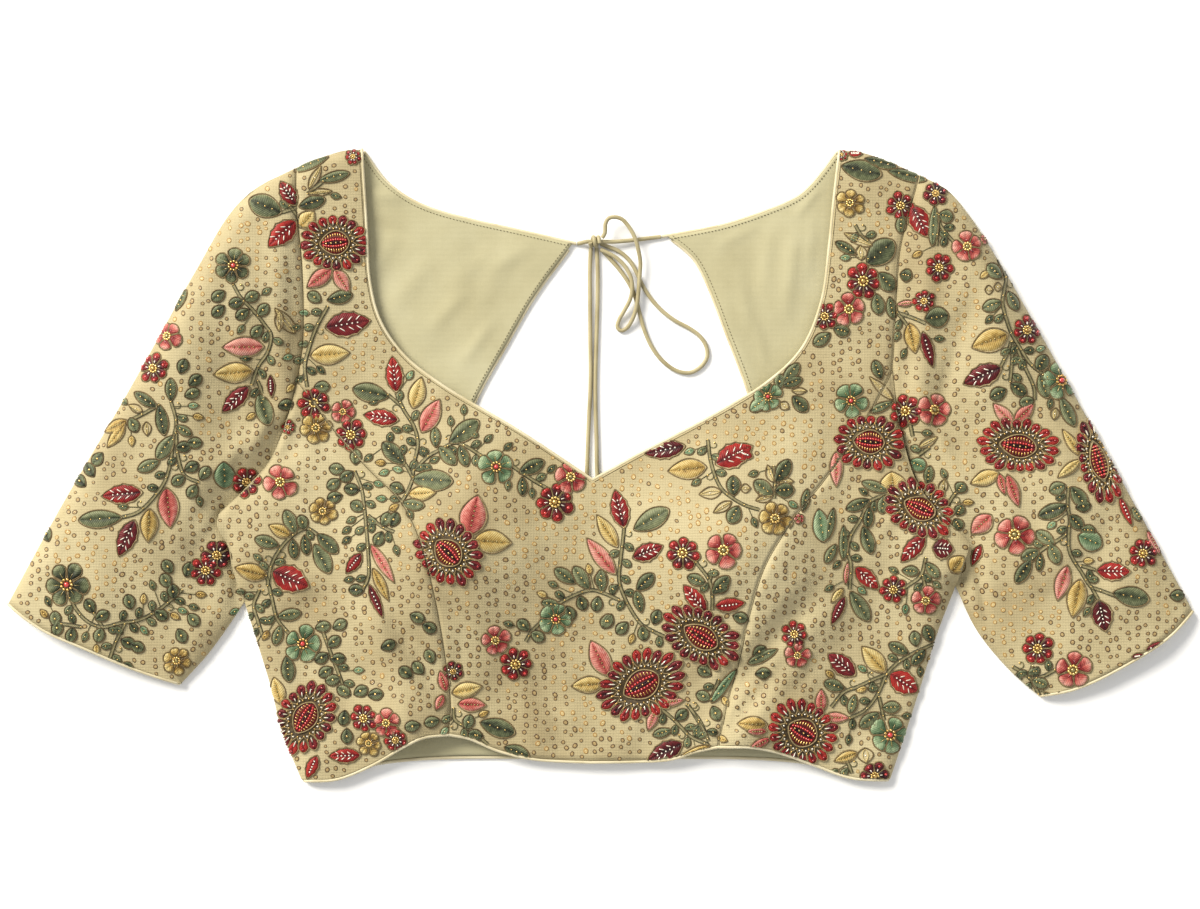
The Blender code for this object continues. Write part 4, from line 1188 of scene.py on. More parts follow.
# Needlework: places are pixels of the picture's frame, and forms come from formulas.
# Leaves by colour: base u, base v, tip u, tip v and, where it isn't half the length, the width.
LEAVES = {
    "red": (
        (705, 610, 683, 584), (714, 605, 743, 601), (397, 392, 393, 357), (399, 420, 365, 415),
        (145, 492, 105, 496), (363, 553, 348, 572), (274, 571, 310, 586, 28), (361, 754, 330, 755),
        (318, 755, 308, 777), (715, 464, 751, 446, 25), (624, 527, 615, 490, 19),
        (633, 557, 662, 545, 18), (923, 535, 900, 561, 17), (854, 567, 877, 588, 17),
        (889, 673, 917, 691, 24), (848, 155, 861, 155, 6), (911, 207, 925, 238, 22),
        (297, 206, 282, 183, 17), (980, 545, 971, 565, 9), (1094, 570, 1127, 571, 19),
        (1117, 497, 1129, 525, 8), (297, 222, 271, 248, 22), (735, 451, 751, 457, 14),
    ),
    "maroon": (
        (138, 520, 122, 555), (327, 328, 371, 321, 26), (250, 387, 224, 412, 17),
        (371, 584, 384, 616, 9), (684, 446, 645, 454, 18), (682, 742, 648, 759, 20),
        (931, 547, 951, 549, 22), (843, 596, 830, 623, 10), (854, 674, 827, 653, 20),
        (921, 333, 931, 367, 12), (998, 368, 962, 384, 22), (1096, 600, 1103, 630, 21),
        (272, 376, 273, 397, 7), (1130, 656, 1141, 654, 5), (1144, 649, 1162, 641, 7),
    ),
    "pink": (
        (608, 674, 591, 640), (659, 702, 683, 699, 9), (656, 708, 648, 729, 10), (423, 432, 440, 400),
        (471, 534, 479, 495, 26), (169, 488, 173, 527), (333, 270, 309, 288), (336, 270, 350, 293),
        (265, 347, 225, 348, 19), (373, 544, 396, 581, 10), (459, 703, 486, 704),
        (447, 690, 441, 670, 10), (444, 694, 437, 708, 9), (615, 573, 587, 538, 15),
        (835, 452, 835, 486, 12), (844, 583, 846, 562, 5), (765, 729, 746, 729, 8),
        (769, 736, 748, 747, 8), (820, 711, 820, 688, 11), (823, 716, 848, 717, 10),
        (912, 303, 896, 305, 5), (1011, 425, 991, 404, 12), (1012, 423, 1031, 404, 13),
        (997, 474, 1002, 494, 8), (1005, 475, 1016, 506, 12), (989, 515, 971, 533, 18),
        (1064, 565, 1055, 599, 15), (1145, 531, 1158, 554, 8),
    ),
    "gold": (
        (603, 682, 572, 685), (414, 408, 422, 378), (411, 494, 437, 492), (476, 539, 512, 542, 22),
        (153, 509, 151, 541), (129, 421, 107, 432, 11), (127, 425, 110, 447, 10),
        (302, 228, 315, 213, 16), (312, 356, 350, 353, 19), (254, 371, 216, 375, 19),
        (375, 568, 390, 599, 9), (268, 575, 237, 567), (292, 535, 271, 525), (282, 703, 275, 677),
        (453, 692, 482, 685), (617, 546, 597, 515, 13), (705, 467, 668, 471, 19),
        (765, 722, 737, 722, 14), (709, 744, 681, 755, 6), (892, 491, 890, 472, 24),
        (841, 588, 830, 601, 7), (884, 671, 861, 646, 17), (856, 752, 834, 760, 10),
        (908, 324, 914, 353, 14), (1004, 335, 970, 348, 22), (1077, 455, 1060, 430, 9),
        (1077, 460, 1055, 477, 9), (996, 473, 969, 483, 14), (1077, 579, 1070, 616, 18),
        (950, 571, 961, 556, 19),
    ),
    "sage": (
        (389, 397, 354, 389), (414, 479, 454, 481), (404, 503, 426, 505), (125, 517, 82, 520, 17),
        (160, 408, 137, 393, 10), (162, 405, 167, 435, 12), (174, 401, 174, 379), (176, 436, 160, 459),
        (162, 461, 141, 470), (179, 426, 194, 435), (283, 214, 251, 201, 22), (301, 208, 326, 200, 13),
        (329, 301, 353, 295), (260, 394, 270, 425, 17), (297, 533, 287, 510), (280, 545, 257, 538),
        (294, 539, 296, 558), (306, 535, 308, 554), (319, 534, 339, 552), (316, 544, 331, 572),
        (279, 616, 302, 612), (282, 625, 276, 644), (288, 655, 290, 681), (481, 721, 515, 732),
        (505, 746, 529, 755), (575, 582, 555, 568), (589, 588, 574, 566), (602, 591, 601, 569),
        (561, 605, 542, 601), (520, 473, 544, 461), (523, 477, 523, 495), (451, 443, 479, 421),
        (437, 447, 436, 428), (440, 447, 457, 464), (461, 446, 468, 466), (406, 464, 384, 443),
        (732, 495, 732, 476, 13), (737, 506, 728, 522, 14), (771, 495, 753, 481, 14),
        (634, 529, 668, 509, 19), (704, 582, 687, 575, 11), (711, 592, 727, 575, 13),
        (637, 589, 653, 573, 13), (641, 611, 636, 590, 10), (776, 648, 747, 662, 10),
        (671, 729, 653, 734, 9), (782, 384, 798, 364, 12), (782, 386, 801, 379, 10),
        (792, 397, 806, 411, 13), (880, 379, 873, 361, 11), (892, 402, 869, 412, 8),
        (887, 491, 861, 482, 10), (884, 495, 880, 513, 12), (868, 500, 845, 509, 11),
        (868, 507, 866, 527, 10), (862, 526, 870, 553, 13), (842, 525, 842, 559, 9),
        (834, 544, 824, 562, 10), (832, 508, 825, 539, 9), (801, 511, 806, 489, 8),
        (774, 482, 788, 460, 14), (773, 491, 792, 489, 14), (901, 570, 917, 571, 10),
        (924, 562, 937, 577, 10), (849, 591, 868, 620, 15), (907, 653, 888, 643, 11),
        (931, 641, 924, 625, 12), (924, 649, 911, 664, 11), (843, 688, 823, 681, 12),
        (854, 694, 849, 712, 9), (881, 707, 899, 706, 12), (878, 712, 859, 726, 13),
        (841, 167, 880, 176, 20), (864, 160, 896, 168, 10), (887, 172, 925, 181, 11),
        (900, 216, 899, 234, 10), (933, 207, 930, 247, 9), (937, 216, 951, 219, 13),
        (855, 255, 835, 243, 9), (866, 265, 892, 242, 24), (878, 274, 892, 291, 16),
        (875, 295, 878, 315, 13), (888, 298, 892, 319, 10), (829, 334, 813, 345, 12),
        (833, 329, 848, 333, 12), (899, 275, 910, 277, 12), (923, 320, 946, 316, 20),
        (999, 279, 985, 266, 14), (998, 303, 980, 310, 12), (1005, 293, 1015, 311, 12),
        (1003, 390, 988, 398, 13), (1008, 384, 1023, 395, 12), (1034, 371, 1044, 356, 14),
        (1037, 375, 1045, 398, 13), (1058, 398, 1072, 426, 13), (1062, 485, 1047, 491, 13),
        (1068, 487, 1083, 506, 14), (1064, 505, 1036, 516, 14), (1066, 515, 1079, 528, 12),
        (1077, 529, 1092, 530, 10), (1051, 544, 1034, 531, 12), (1047, 543, 1055, 563, 12),
        (1036, 550, 1019, 558, 13), (1028, 559, 1014, 582, 12), (1038, 553, 1036, 570, 7),
        (1110, 592, 1146, 599, 19), (1031, 679, 1046, 685, 11), (1130, 508, 1139, 520, 8),
        (956, 492, 962, 483, 12), (956, 515, 961, 505, 10), (954, 519, 960, 529, 11),
        (927, 484, 929, 466, 9), (320, 182, 350, 174, 10), (329, 158, 295, 172, 9),
        (178, 311, 188, 291, 7),
    ),
    "mint": (
        (735, 668, 711, 701, 9), (766, 397, 750, 411, 12), (817, 509, 822, 541, 17),
        (1075, 535, 1099, 545, 20), (226, 462, 226, 488, 20), (910, 461, 925, 468, 14),
    ),
    "loop": (
        (720, 491, 698, 494, 12), (730, 501, 712, 512, 9), (739, 488, 749, 488, 9),
        (757, 495, 765, 489, 9), (791, 391, 806, 391, 7), (779, 403, 788, 409, 9),
        (892, 400, 868, 377, 9), (772, 482, 766, 465, 10), (776, 482, 792, 481, 9),
        (771, 495, 754, 500, 9), (871, 247, 843, 234, 10), (860, 261, 859, 246, 12),
        (982, 291, 990, 291, 9), (991, 288, 999, 288, 9), (918, 447, 936, 437, 9),
        (941, 492, 943, 479, 9), (310, 190, 322, 167, 9), (309, 195, 333, 192, 8),
        (145, 412, 131, 405, 8), (149, 422, 150, 436, 9), (296, 334, 277, 309, 12),
        (281, 312, 281, 332, 9), (864, 747, 865, 762, 16), (1053, 408, 1051, 420, 9),
    ),
}
# Small round leaves by their middles. Each one points away from the nearest stem.
LEAFLETS = (
    (597, 603), (608, 620), (622, 627), (643, 632), (656, 616), (719, 586), (739, 616), (704, 670),
    (703, 695), (715, 712), (681, 714), (93, 605), (105, 615), (102, 634), (58, 618), (60, 627),
    (74, 634), (130, 642), (139, 646), (132, 601), (168, 580), (170, 566), (190, 569), (175, 591),
    (163, 614), (183, 635), (195, 619), (136, 425), (197, 443), (186, 447), (194, 467), (181, 480),
    (207, 473), (195, 491), (100, 459), (92, 470), (82, 481), (48, 534), (254, 298), (265, 311),
    (221, 297), (221, 312), (239, 304), (245, 315), (259, 332), (316, 298), (323, 387), (287, 405),
    (186, 367), (198, 381), (195, 394), (338, 469), (335, 484), (348, 476), (353, 489), (336, 497),
    (359, 506), (357, 457), (388, 519), (381, 538), (396, 519), (358, 589), (304, 522), (324, 626),
    (341, 624), (335, 641), (323, 657), (339, 658), (327, 671), (334, 679), (345, 690), (362, 690),
    (377, 693), (345, 717), (348, 735), (414, 724), (433, 720), (419, 616), (431, 626), (390, 644),
    (407, 671), (419, 667), (431, 655), (469, 721), (476, 734), (582, 602), (570, 612), (524, 624),
    (538, 635), (606, 620), (399, 488), (762, 672), (758, 650), (779, 382), (914, 638), (1024, 402),
    (1175, 595), (1080, 506), (600, 579),
)
# Flowers: kind, middle u and v, radius.
FLOWERS = (
    ("mint", 497, 467, 18), ("sage", 70, 584, 22), ("sage", 236, 267, 18), ("mint", 304, 643, 19),
    ("mint", 556, 618, 17), ("mint", 850, 401, 17), ("mint", 889, 734, 20), ("mint", 1059, 381, 20),
    ("mint", 767, 397, 15), ("pink", 571, 477, 17), ("pink", 282, 482, 17), ("pink", 344, 412, 12),
    ("pink", 388, 721, 14), ("pink", 496, 639, 15), ("pink", 722, 549, 19), ("pink", 796, 654, 13),
    ("pink", 924, 600, 15), ("pink", 965, 248, 16), ("pink", 848, 310, 17), ("pink", 933, 410, 18),
    ("pink", 1012, 534, 20), ("pink", 1071, 669, 19), ("pink", 170, 337, 15), ("pink", 983, 240, 5),
    ("pink", 797, 518, 5), ("red", 555, 502, 19), ("red", 247, 482, 15), ("red", 315, 403, 16),
    ("red", 352, 435, 16), ("red", 207, 570, 15), ("red", 289, 427, 7), ("red", 365, 717, 14),
    ("red", 397, 738, 12), ("red", 516, 663, 17), ("red", 682, 552, 17), ("red", 793, 633, 13),
    ("red", 892, 589, 14), ("red", 899, 207, 14), ("red", 937, 269, 14), ("red", 862, 282, 18),
    ("red", 824, 317, 14), ("red", 922, 302, 11), ("red", 905, 411, 17), ("red", 1024, 331, 15),
    ("red", 1140, 553, 15), ("red", 1036, 648, 16), ("red", 156, 369, 15), ("red", 354, 158, 8),
    ("red", 841, 156, 6), ("maroon", 218, 555, 15), ("maroon", 454, 670, 10), ("maroon", 934, 195, 12),
    ("maroon", 874, 775, 14), ("gold", 317, 428, 16), ("gold", 324, 511, 14), ("gold", 178, 660, 14),
    ("gold", 370, 742, 13), ("gold", 773, 518, 17), ("gold", 849, 204, 14),
)
# Beaded medallions: kind, middle u and v, half length, half breadth, turn in degrees.
MEDALLIONS = (
    ("red", 336, 244, 34, 28, 5), ("red", 450, 551, 36, 30, -45), ("maroon", 306, 717, 40, 28, 60),
    ("red", 641, 684, 46, 33, 30), ("maroon", 700, 635, 44, 27, -31), ("red", 801, 731, 37, 33, -30),
    ("red", 868, 442, 36, 28, -5), ("maroon", 918, 508, 38, 27, -25), ("red", 1016, 446, 43, 27, -8),
    ("maroon", 1096, 461, 45, 20, -74),
)
# Stems: u and v of each point in turn.
STEMS = (
    (624, 527, 622, 545, 620, 562, 619, 580, 626, 600, 641, 623, 651, 629, 672, 639),
    (695, 561, 708, 579, 711, 594, 711, 608), (711, 568, 708, 580), (718, 678, 710, 700),
    (659, 706, 675, 720, 690, 735, 708, 743), (686, 703, 699, 719, 708, 739), (688, 704, 705, 732),
    (707, 440, 709, 457, 713, 473, 720, 488, 730, 497, 744, 505, 757, 509),
    (414, 477, 416, 462, 419, 443, 415, 427, 404, 409, 397, 393), (404, 408, 389, 395),
    (416, 470, 430, 456, 443, 449, 455, 443, 466, 446, 481, 455, 493, 462),
    (449, 446, 462, 435, 473, 427), (414, 477, 408, 466, 395, 450, 386, 442),
    (415, 477, 409, 492, 403, 502), (509, 463, 520, 471, 535, 481, 549, 489), (97, 612, 105, 626),
    (73, 597, 80, 610, 91, 621, 105, 626, 123, 622, 141, 619, 162, 608, 184, 589),
    (84, 626, 64, 623, 53, 623), (127, 623, 118, 641, 112, 657),
    (174, 402, 179, 422, 176, 440, 173, 463, 167, 482, 155, 499, 141, 512, 125, 517),
    (162, 405, 146, 414, 131, 421), (179, 433, 180, 453, 187, 475, 201, 482),
    (291, 207, 299, 218, 302, 229), (329, 307, 317, 329, 310, 349, 306, 366, 308, 387),
    (236, 286, 243, 298, 256, 312, 267, 326, 273, 335, 270, 351, 259, 368, 253, 385),
    (259, 381, 264, 396, 267, 410),
    (356, 471, 363, 489, 366, 508, 368, 528, 370, 553, 370, 576, 364, 589),
    (370, 515, 384, 526, 396, 531), (269, 585, 273, 564, 282, 548, 294, 535, 308, 528, 319, 534),
    (268, 575, 273, 596, 279, 619, 290, 633), (261, 589, 255, 605, 259, 620, 264, 636),
    (320, 620, 327, 639, 334, 658, 341, 676, 348, 697), (454, 707, 455, 718, 470, 728, 488, 743),
    (619, 599, 603, 592, 591, 589, 577, 593, 559, 602), (542, 620, 533, 629, 526, 640),
    (887, 493, 868, 502, 859, 519, 849, 536, 846, 552, 849, 562, 848, 588),
    (772, 466, 773, 482, 772, 498), (924, 557, 919, 575, 906, 585, 895, 592), (921, 575, 924, 588),
    (934, 643, 911, 653, 894, 664, 886, 673, 876, 694, 864, 709, 849, 717),
    (886, 673, 871, 679, 856, 686, 843, 691, 830, 706), (878, 696, 883, 719), (846, 759, 851, 772),
    (854, 226, 859, 235, 870, 247, 866, 262), (935, 215, 939, 228, 951, 243), (937, 216, 934, 247),
    (896, 313, 910, 318, 923, 324), (896, 313, 906, 326, 914, 340),
    (997, 260, 1004, 279, 1002, 289, 999, 303, 1003, 321, 1008, 334, 1016, 347, 1028, 365, 1041, 375,
     1060, 389),
    (1008, 342, 1004, 354, 997, 368), (1009, 342, 1009, 359, 1007, 382),
    (1014, 349, 1022, 368, 1031, 388, 1032, 400),
    (1065, 487, 1064, 505, 1066, 519, 1065, 533, 1066, 551, 1078, 571, 1088, 586, 1096, 589, 1112, 595),
    (1062, 534, 1055, 539, 1038, 550, 1028, 559), (1088, 586, 1095, 598), (1078, 565, 1092, 569),
    (945, 515, 941, 502, 942, 487), (945, 512, 951, 497, 957, 490), (1012, 666, 1028, 677, 1040, 697),
    (1031, 665, 1028, 677, 1042, 675, 1053, 669), (298, 209, 283, 214), (309, 195, 326, 181),
    (1040, 375, 1044, 368), (905, 402, 912, 436), (928, 447, 918, 455),
)
# Places where sequins take the pale copy, painted light, instead of the bronze one, painted shade:
# middle u and v, reach.
PAINTED_LIT_PLACES = (
    (240, 215, 60), (335, 350, 50), (160, 330, 36), (430, 520, 46), (560, 560, 60), (640, 510, 70),
    (730, 500, 60), (780, 430, 50), (640, 600, 50), (600, 700, 40), (860, 235, 34), (960, 320, 40),
    (1020, 620, 44), (940, 480, 30), (90, 560, 40), (200, 420, 26),
)

NEEDLE_SEED = 11
PLAN_BOX = (-364, -196, 364, 196)
RAY_HEIGHT = 0.2

# Stitches across, as shares of the half breadth with the share of the rise there.
FILL_ACROSS = np.array([-1, -0.86, -0.5, -0.13, 0, 0.13, 0.5, 0.86, 1])
FILL_CROWN = np.array([-0.25, 0.66, 1, 0.88, 0.5, 0.88, 1, 0.66, -0.25])
BUGLE_ACROSS = np.array([-1, -0.6, 0.6, 1])
BUGLE_CROWN = np.array([-0.2, 0.85, 0.85, -0.2])
CORD_ACROSS = np.array([-1, -0.5, 0.5, 1])
CORD_CROWN = np.array([-0.25, 1, 1, -0.25])
STEM_ACROSS = np.array([-1, -0.78, -0.4, 0, 0.4, 0.78, 1])
STEM_CROWN = np.array([-0.2, 1, 0.55, 0.7, 0.55, 1, -0.2])
STEM_TONE = np.array([0.05, 0.1, 0.6, 0.95, 0.6, 0.1, 0.05])

# Fills and couched cords.
FILL_RISE = 0.85
FILL_END = -0.25
FILL_STEPS = 12
SMALL_STEPS = 8
BUGLE_STEPS = 4
BUGLE_RISE = 0.5
CORD_HALF, CORD_RISE = 0.46, 0.65
STEM_HALF, STEM_RISE = 1.25, 0.7
STEM_STEP = 1.3
STEM_BEADS = 9
STEM_READINGS = 12

# Leaves.
LEAF_SHARE = 0.5
LEAF_VARIETY = 0.16
LEAF_WAVE = 7.3
BROAD_LEAF = 9
VEIN_PLACES = (0.24, 0.36, 0.48, 0.6, 0.72)
SIDE_VEIN_PLACES = (0.3, 0.5, 0.68)
GREEN_BEAD_PLACES = (0.28, 0.5, 0.72)
LEAFLET_LENGTH, LEAFLET_WIDTH = 9.0, 6.8
SPRIG_LENGTH, SPRIG_WIDTH = 6.6, 4.4
SPRIG_START, SPRIG_PITCH = 4, 5
SPRIG_LEAN = 0.55
SPRIG_CLEAR = 0.6
BUD_KINDS = ("sage", "sage", "sage", "gold", "mint")
BUD_REACH = (4.5, 12.0)
BUD_LEAN = (0.2, 1.0)
BUD_LENGTH, BUD_WIDTH = 6.4, 3.8
BUD_ROOM = 4
BUD_CLEAR = 0.5
BUDS_PER_MM = 0.8
STALK_STEPS = 5
STALK_HALF, STALK_RISE = 0.32, 0.45

# Small leaves: form, steps and rise of the fill, then reach outside it, steps, half width, rise and
# tone of its edge, then place along it, radius and seat of its bead.
LEAFLET = ("round", FILL_STEPS, FILL_RISE, 0.3, 14, CORD_HALF, CORD_RISE, 0.2, 0.5, 0.8, 0.5)
SPRIG = ("round", SMALL_STEPS, 0.7, 0.25, SMALL_STEPS, 0.3, 0.5, 0.2, 0.6, 0.5, 0.4)
BUD = ("leaf", SMALL_STEPS, 0.7, 0.35, SMALL_STEPS, 0.36, 0.55, 0.4, 0.5, 0.5, 0.4)

# Curls beside the stems.
TENDRIL_START, TENDRIL_PITCH = 3, 6
TENDRIL_POINTS = 15
TENDRIL_TURN = 1.35 * math.pi
TENDRIL_REACH = 2.8
TENDRIL_END = 0.35
TENDRIL_OFF = 1.25
TENDRIL_HALF, TENDRIL_RISE = 0.42, 0.45
TENDRIL_CLEAR = 0.4

# Flowers: petals by kind, and what is sewn on them by middle. First come the long beads: kit, start,
# end, width, tone and seat. Then rows of beads: kit, where, distance out, radius, tone and seat.
# Distances and the beads' radii are shares of the flower's radius.
PETALS = {"pink": 5, "red": 7, "maroon": 6, "gold": 6, "mint": 5, "sage": 6}
PETAL_FOOT = 0.16
RING_BEADS = 9
RED_MIDDLE = (
    ("bead_white", 0.34, 0.56, 0.75, 0.55, 0.7),
    ("bead_red", "petals", 0.76, 0.1, 0.6, 0.6),
    ("bead_gold", "ring", 0.24, 0.09, 0.6, 0.5),
    ("bead_gold", "middle", 0, 0.17, 0.3, 0.4),
)
GREEN_MIDDLE = (
    ("bead_olive", 0.3, 0.62, 0.6, 0.55, 0.7),
    ("bead_red", "middle", 0, 0.14, 0.7, 0.5),
    ("bead_gold", "ring", 0.24, 0.08, 0.4, 0.5),
)
PALE_BEADS = (("bead_gold", "ring", 0.22, 0.1, 0.5, 0.4), ("bead_olive", "middle", 0, 0.15, 0.4, 0.3))
MIDDLES = {
    "red": RED_MIDDLE,
    "maroon": RED_MIDDLE,
    "mint": GREEN_MIDDLE,
    "sage": GREEN_MIDDLE,
    "pink": (("bead_red", 0.26, 0.52, 0.8, 0.3, 0.6), *PALE_BEADS),
    "gold": (("bead_olive", 0.26, 0.52, 0.8, 0.3, 0.6), *PALE_BEADS),
}

# Medallions: petals about a pitch apart on an oval at a share of their size, and the eye's shares.
RIM_PITCH = 6.3
RIM_AT = 0.86
RIM_FOOT = 0.55
RIM_STEPS = 180
RIM_OWN_COLOUR = 0.7
EYE_LONG, EYE_WIDE = 0.42, 0.84
EYE_BEADS = 10
OTHER_RED = {"red": "maroon", "maroon": "red"}

# Beads, as rings of points that close on top: radius share and lift of each.
BEAD_SIDES = 6
BEAD_RINGS = ((1.0, -0.1), (0.92, 0.55), (0.5, 0.95))

# Sequins.
SEQUIN_PITCH = (5.8, 5.3)
SEQUIN_SHIFT = 1.55
SEQUIN_RADIUS = 1.5
SEQUIN_SIZES = (0.78, 1.15)
SEQUIN_STRETCH = (0.8, 1.4)
SEQUIN_TURN = 0.6
SEQUIN_SIDES = 8
SEQUIN_RINGS = ((1.0, -0.08), (0.86, 0.15), (0.6, 0.14), (0.46, 0.05), (0.3, 0.08), (0.16, 0.16))
SEQUIN_TONES = (0.0, 0.05, 0.25, 0.95, 0.7, 0.9)
SEQUIN_CLEAR = 1.7
# Least and most share of sequins that take the pale copy, painted light, at any place.
PAINTED_LIT_LEAST, PAINTED_LIT_MOST = 0.08, 0.92

# Stitches of the seams and of the lining's edges.
STITCH_PITCH = 2.1
STITCH_LENGTH = 1.35
STITCH_WIDTH = 0.42
STITCH_INSET = 3.3
STITCH_START = 1.5
EDGE_STEPS = 200
SEAM_LINE_STEPS = 240
SEAM_BESIDE = 0.4
NECK_BESIDE = 2.6
SEAM_HALF_WIDTH, SEAM_RISE = 0.2, 0.14


def at(points):
    """Plan places of pixels."""
    return (np.asarray(points, float) - ORIGIN_PIXEL) * (PIXEL, -PIXEL)


def unit(rows):
    """Rows scaled to length 1."""
    return rows / np.maximum(np.linalg.norm(rows, axis=-1, keepdims=True), 1e-9)


def leftward(rows):
    """Plan directions turned left by a right angle."""
    return np.stack([-rows[..., 1], rows[..., 0]], axis=-1)


def circle(count):
    """Directions all round, in equal steps."""
    angle = np.arange(count) * 2 * math.pi / count
    return np.stack([np.cos(angle), np.sin(angle)], axis=1)


def profile(form, t):
    """Half breadths of a leaf or petal from its base to its tip, at most 1."""
    if form == "round":
        return np.sin(math.pi * np.clip(t, 0, 1) ** 1.15) ** 0.6
    if form == "petal":
        return np.sin(math.pi * np.clip(t, 0, 1) ** 1.7) ** 0.62
    if form == "bugle":
        return np.sin(math.pi * np.clip(t, 0, 1)) ** 0.3
    leaf = np.sin(math.pi * np.clip(t, 0, 1) ** 0.88) ** 0.85
    if form == "notched":
        return leaf * (1 - 0.13 * np.abs(np.sin(4.5 * math.pi * t)))
    return leaf


def quads(rows, columns, closed=False):
    """The faces of a grid of points, whose last row meets its first where it is closed."""
    spans = np.arange(rows if closed else rows - 1)
    i, j = (grid.ravel() for grid in np.meshgrid(spans, np.arange(columns - 1), indexing="ij"))
    k = (i + 1) % rows
    return np.stack([i * columns + j, k * columns + j, k * columns + j + 1, i * columns + j + 1], axis=1)


class Surface:
    """Outer faces of cloth, looked at from above."""

    def __init__(self, grids, owners):
        points, faces, self.owner = [], [], []
        for grid, owner in zip(grids, owners):
            rows, columns = grid.shape[:2]
            found = quads(rows, columns) + len(points)
            points += grid.reshape(-1, 3).tolist()
            faces += found.tolist()
            self.owner += [owner] * len(found)
        self.tree = BVHTree.FromPolygons(points, faces)

    def over(self, plan):
        """For each plan point: its place on the cloth, the way out of it, and whose cloth it is."""
        places = np.zeros((len(plan), 3))
        out = np.zeros((len(plan), 3))
        owner = np.full(len(plan), -1)
        cast, down = self.tree.ray_cast, Vector((0, 0, -1))
        for i, (x, y) in enumerate((plan * MM).tolist()):
            place_hit, normal, face, _ = cast((x, y, RAY_HEIGHT), down)
            if face is not None:
                places[i] = place_hit
                out[i] = normal if normal.z > 0 else -normal
                owner[i] = self.owner[face]
        return places, out, owner


class Needlework:
    """Stitches or beads of one kind, as plan points with their lift off the cloth."""

    def __init__(self, name, look):
        self.name, self.look = name, look
        self.points, self.lifts, self.tones, self.threads = [], [], [], []
        self.faces, self.whole, self.count = [], [], 0

    def add(self, plan, lift, tone, faces, thread=None, whole=False):
        """Copies of one grid: plan is copies by points by 2, and the rest fits its first axes."""
        copies, size = plan.shape[:2]
        self.points.append(plan.reshape(-1, 2))
        self.lifts.append(np.broadcast_to(lift, (copies, size)).ravel())
        self.tones.append(np.broadcast_to(tone, (copies, size)).ravel())
        thread = plan if thread is None else thread
        self.threads.append(np.broadcast_to(thread, plan.shape).reshape(-1, 2))
        start = self.count + np.arange(copies)[:, None, None] * size
        self.faces.append((faces[None] + start).reshape(-1, 4))
        number = np.arange(copies).repeat(len(faces)) if whole else np.full(copies * len(faces), -1)
        self.whole.append(np.stack([number, np.full(len(number), len(self.whole))], axis=1))
        self.count += copies * size

    def kept(self, owner, faces, whole):
        """Faces that lie on one piece of cloth, with whole beads kept or left out as one."""
        good = (owner[faces] == owner[faces[:, :1]]).all(axis=1) & (owner[faces[:, 0]] >= 0)
        keys = whole[:, 1].astype(np.int64) * 1000000 + whole[:, 0]
        broken = np.unique(keys[~good & (whole[:, 0] >= 0)])
        return good & ~np.isin(keys, broken)

    def make(self, surface):
        """Lays all copies on the cloth as one mesh."""
        plan = np.vstack(self.points)
        places, out, owner = surface.over(plan)
        faces = np.vstack(self.faces)
        faces = faces[self.kept(owner, faces, np.vstack(self.whole))]
        used, inverse = np.unique(faces, return_inverse=True)
        faces = inverse.reshape(faces.shape)
        points = places[used] + out[used] * np.concatenate(self.lifts)[used, None] * MM
        corners = points[faces]
        side = np.cross(corners[:, 2] - corners[:, 0], corners[:, 3] - corners[:, 1])
        under = (side * out[used][faces[:, 0]]).sum(axis=1) < 0
        faces[under] = faces[under][:, ::-1]
        mesh = bpy.data.meshes.new(self.name)
        mesh.from_pydata(points.tolist(), [], faces.tolist())
        self.mark(mesh, used)
        mesh.shade_smooth()
        return place(self.name, mesh, [self.look], slot="brocade")

    def mark(self, mesh, used):
        """Gives the mesh the tone of its points and the coordinates of its threads."""
        tone = mesh.attributes.new("tone", "FLOAT", "POINT")
        tone.data.foreach_set("value", np.concatenate(self.tones)[used].astype(np.float32))
        thread = np.vstack(self.threads)[used]
        layer = mesh.uv_layers.new(name="thread")
        loops = np.empty(len(mesh.loops), np.int32)
        mesh.loops.foreach_get("vertex_index", loops)
        layer.data.foreach_set("uv", thread[loops].astype(np.float32).ravel())


SATIN = (FILL_ACROSS, FILL_CROWN)


def fills(work, base, tip, width, form, rise, tone, steps=FILL_STEPS, section=SATIN, sit=0.0):
    """Padded satin stitch in the form of leaves or petals, whose tone is a function of t and s."""
    across, crown = section
    t = np.linspace(0, 1, steps + 1)[:, None]
    reach = profile(form, t) * across
    along = tip - base
    long = np.linalg.norm(along, axis=1)
    aside = leftward(unit(along)) * width[:, None] / 2
    plan = base[:, None, None] + along[:, None, None] * t[..., None]
    plan = plan + aside[:, None, None] * reach[..., None]
    lift = rise * np.broadcast_to(crown, reach.shape).copy()
    lift[[0, -1]] = FILL_END * rise
    lift += sit
    shade = tone(t, across) if callable(tone) else np.full(reach.shape, tone)
    vary = LEAF_VARIETY * np.sin(LEAF_WAVE * np.arange(len(base)))[:, None]
    tones = np.broadcast_to(shade, reach.shape).ravel() + vary
    run, off = t[None] * long[:, None, None], np.abs(reach)[None] * width[:, None, None] / 2
    thread = np.stack(np.broadcast_arrays(run, off), axis=-1)
    size = (len(base), reach.size, 2)
    faces = quads(steps + 1, len(across))
    work.add(plan.reshape(size), lift.ravel(), tones, faces, thread.reshape(size))


def edge_lines(base, tip, width, form, reach, steps=14):
    """Closed lines round leaves, at a reach outside them."""
    way = unit(tip - base)
    base, tip = base - way * reach, tip + way * reach
    t = (1 - np.cos(math.pi * np.linspace(0, 1, steps + 1))) / 2
    half = profile(form, t)
    t = np.concatenate([t, t[-2:0:-1]])
    half = np.concatenate([half, -half[-2:0:-1]])
    aside = leftward(way) * (width[:, None] / 2 + reach)
    return base[:, None] + (tip - base)[:, None] * t[:, None] + aside[:, None] * half[:, None]


COUCHED = (CORD_ACROSS, CORD_CROWN)


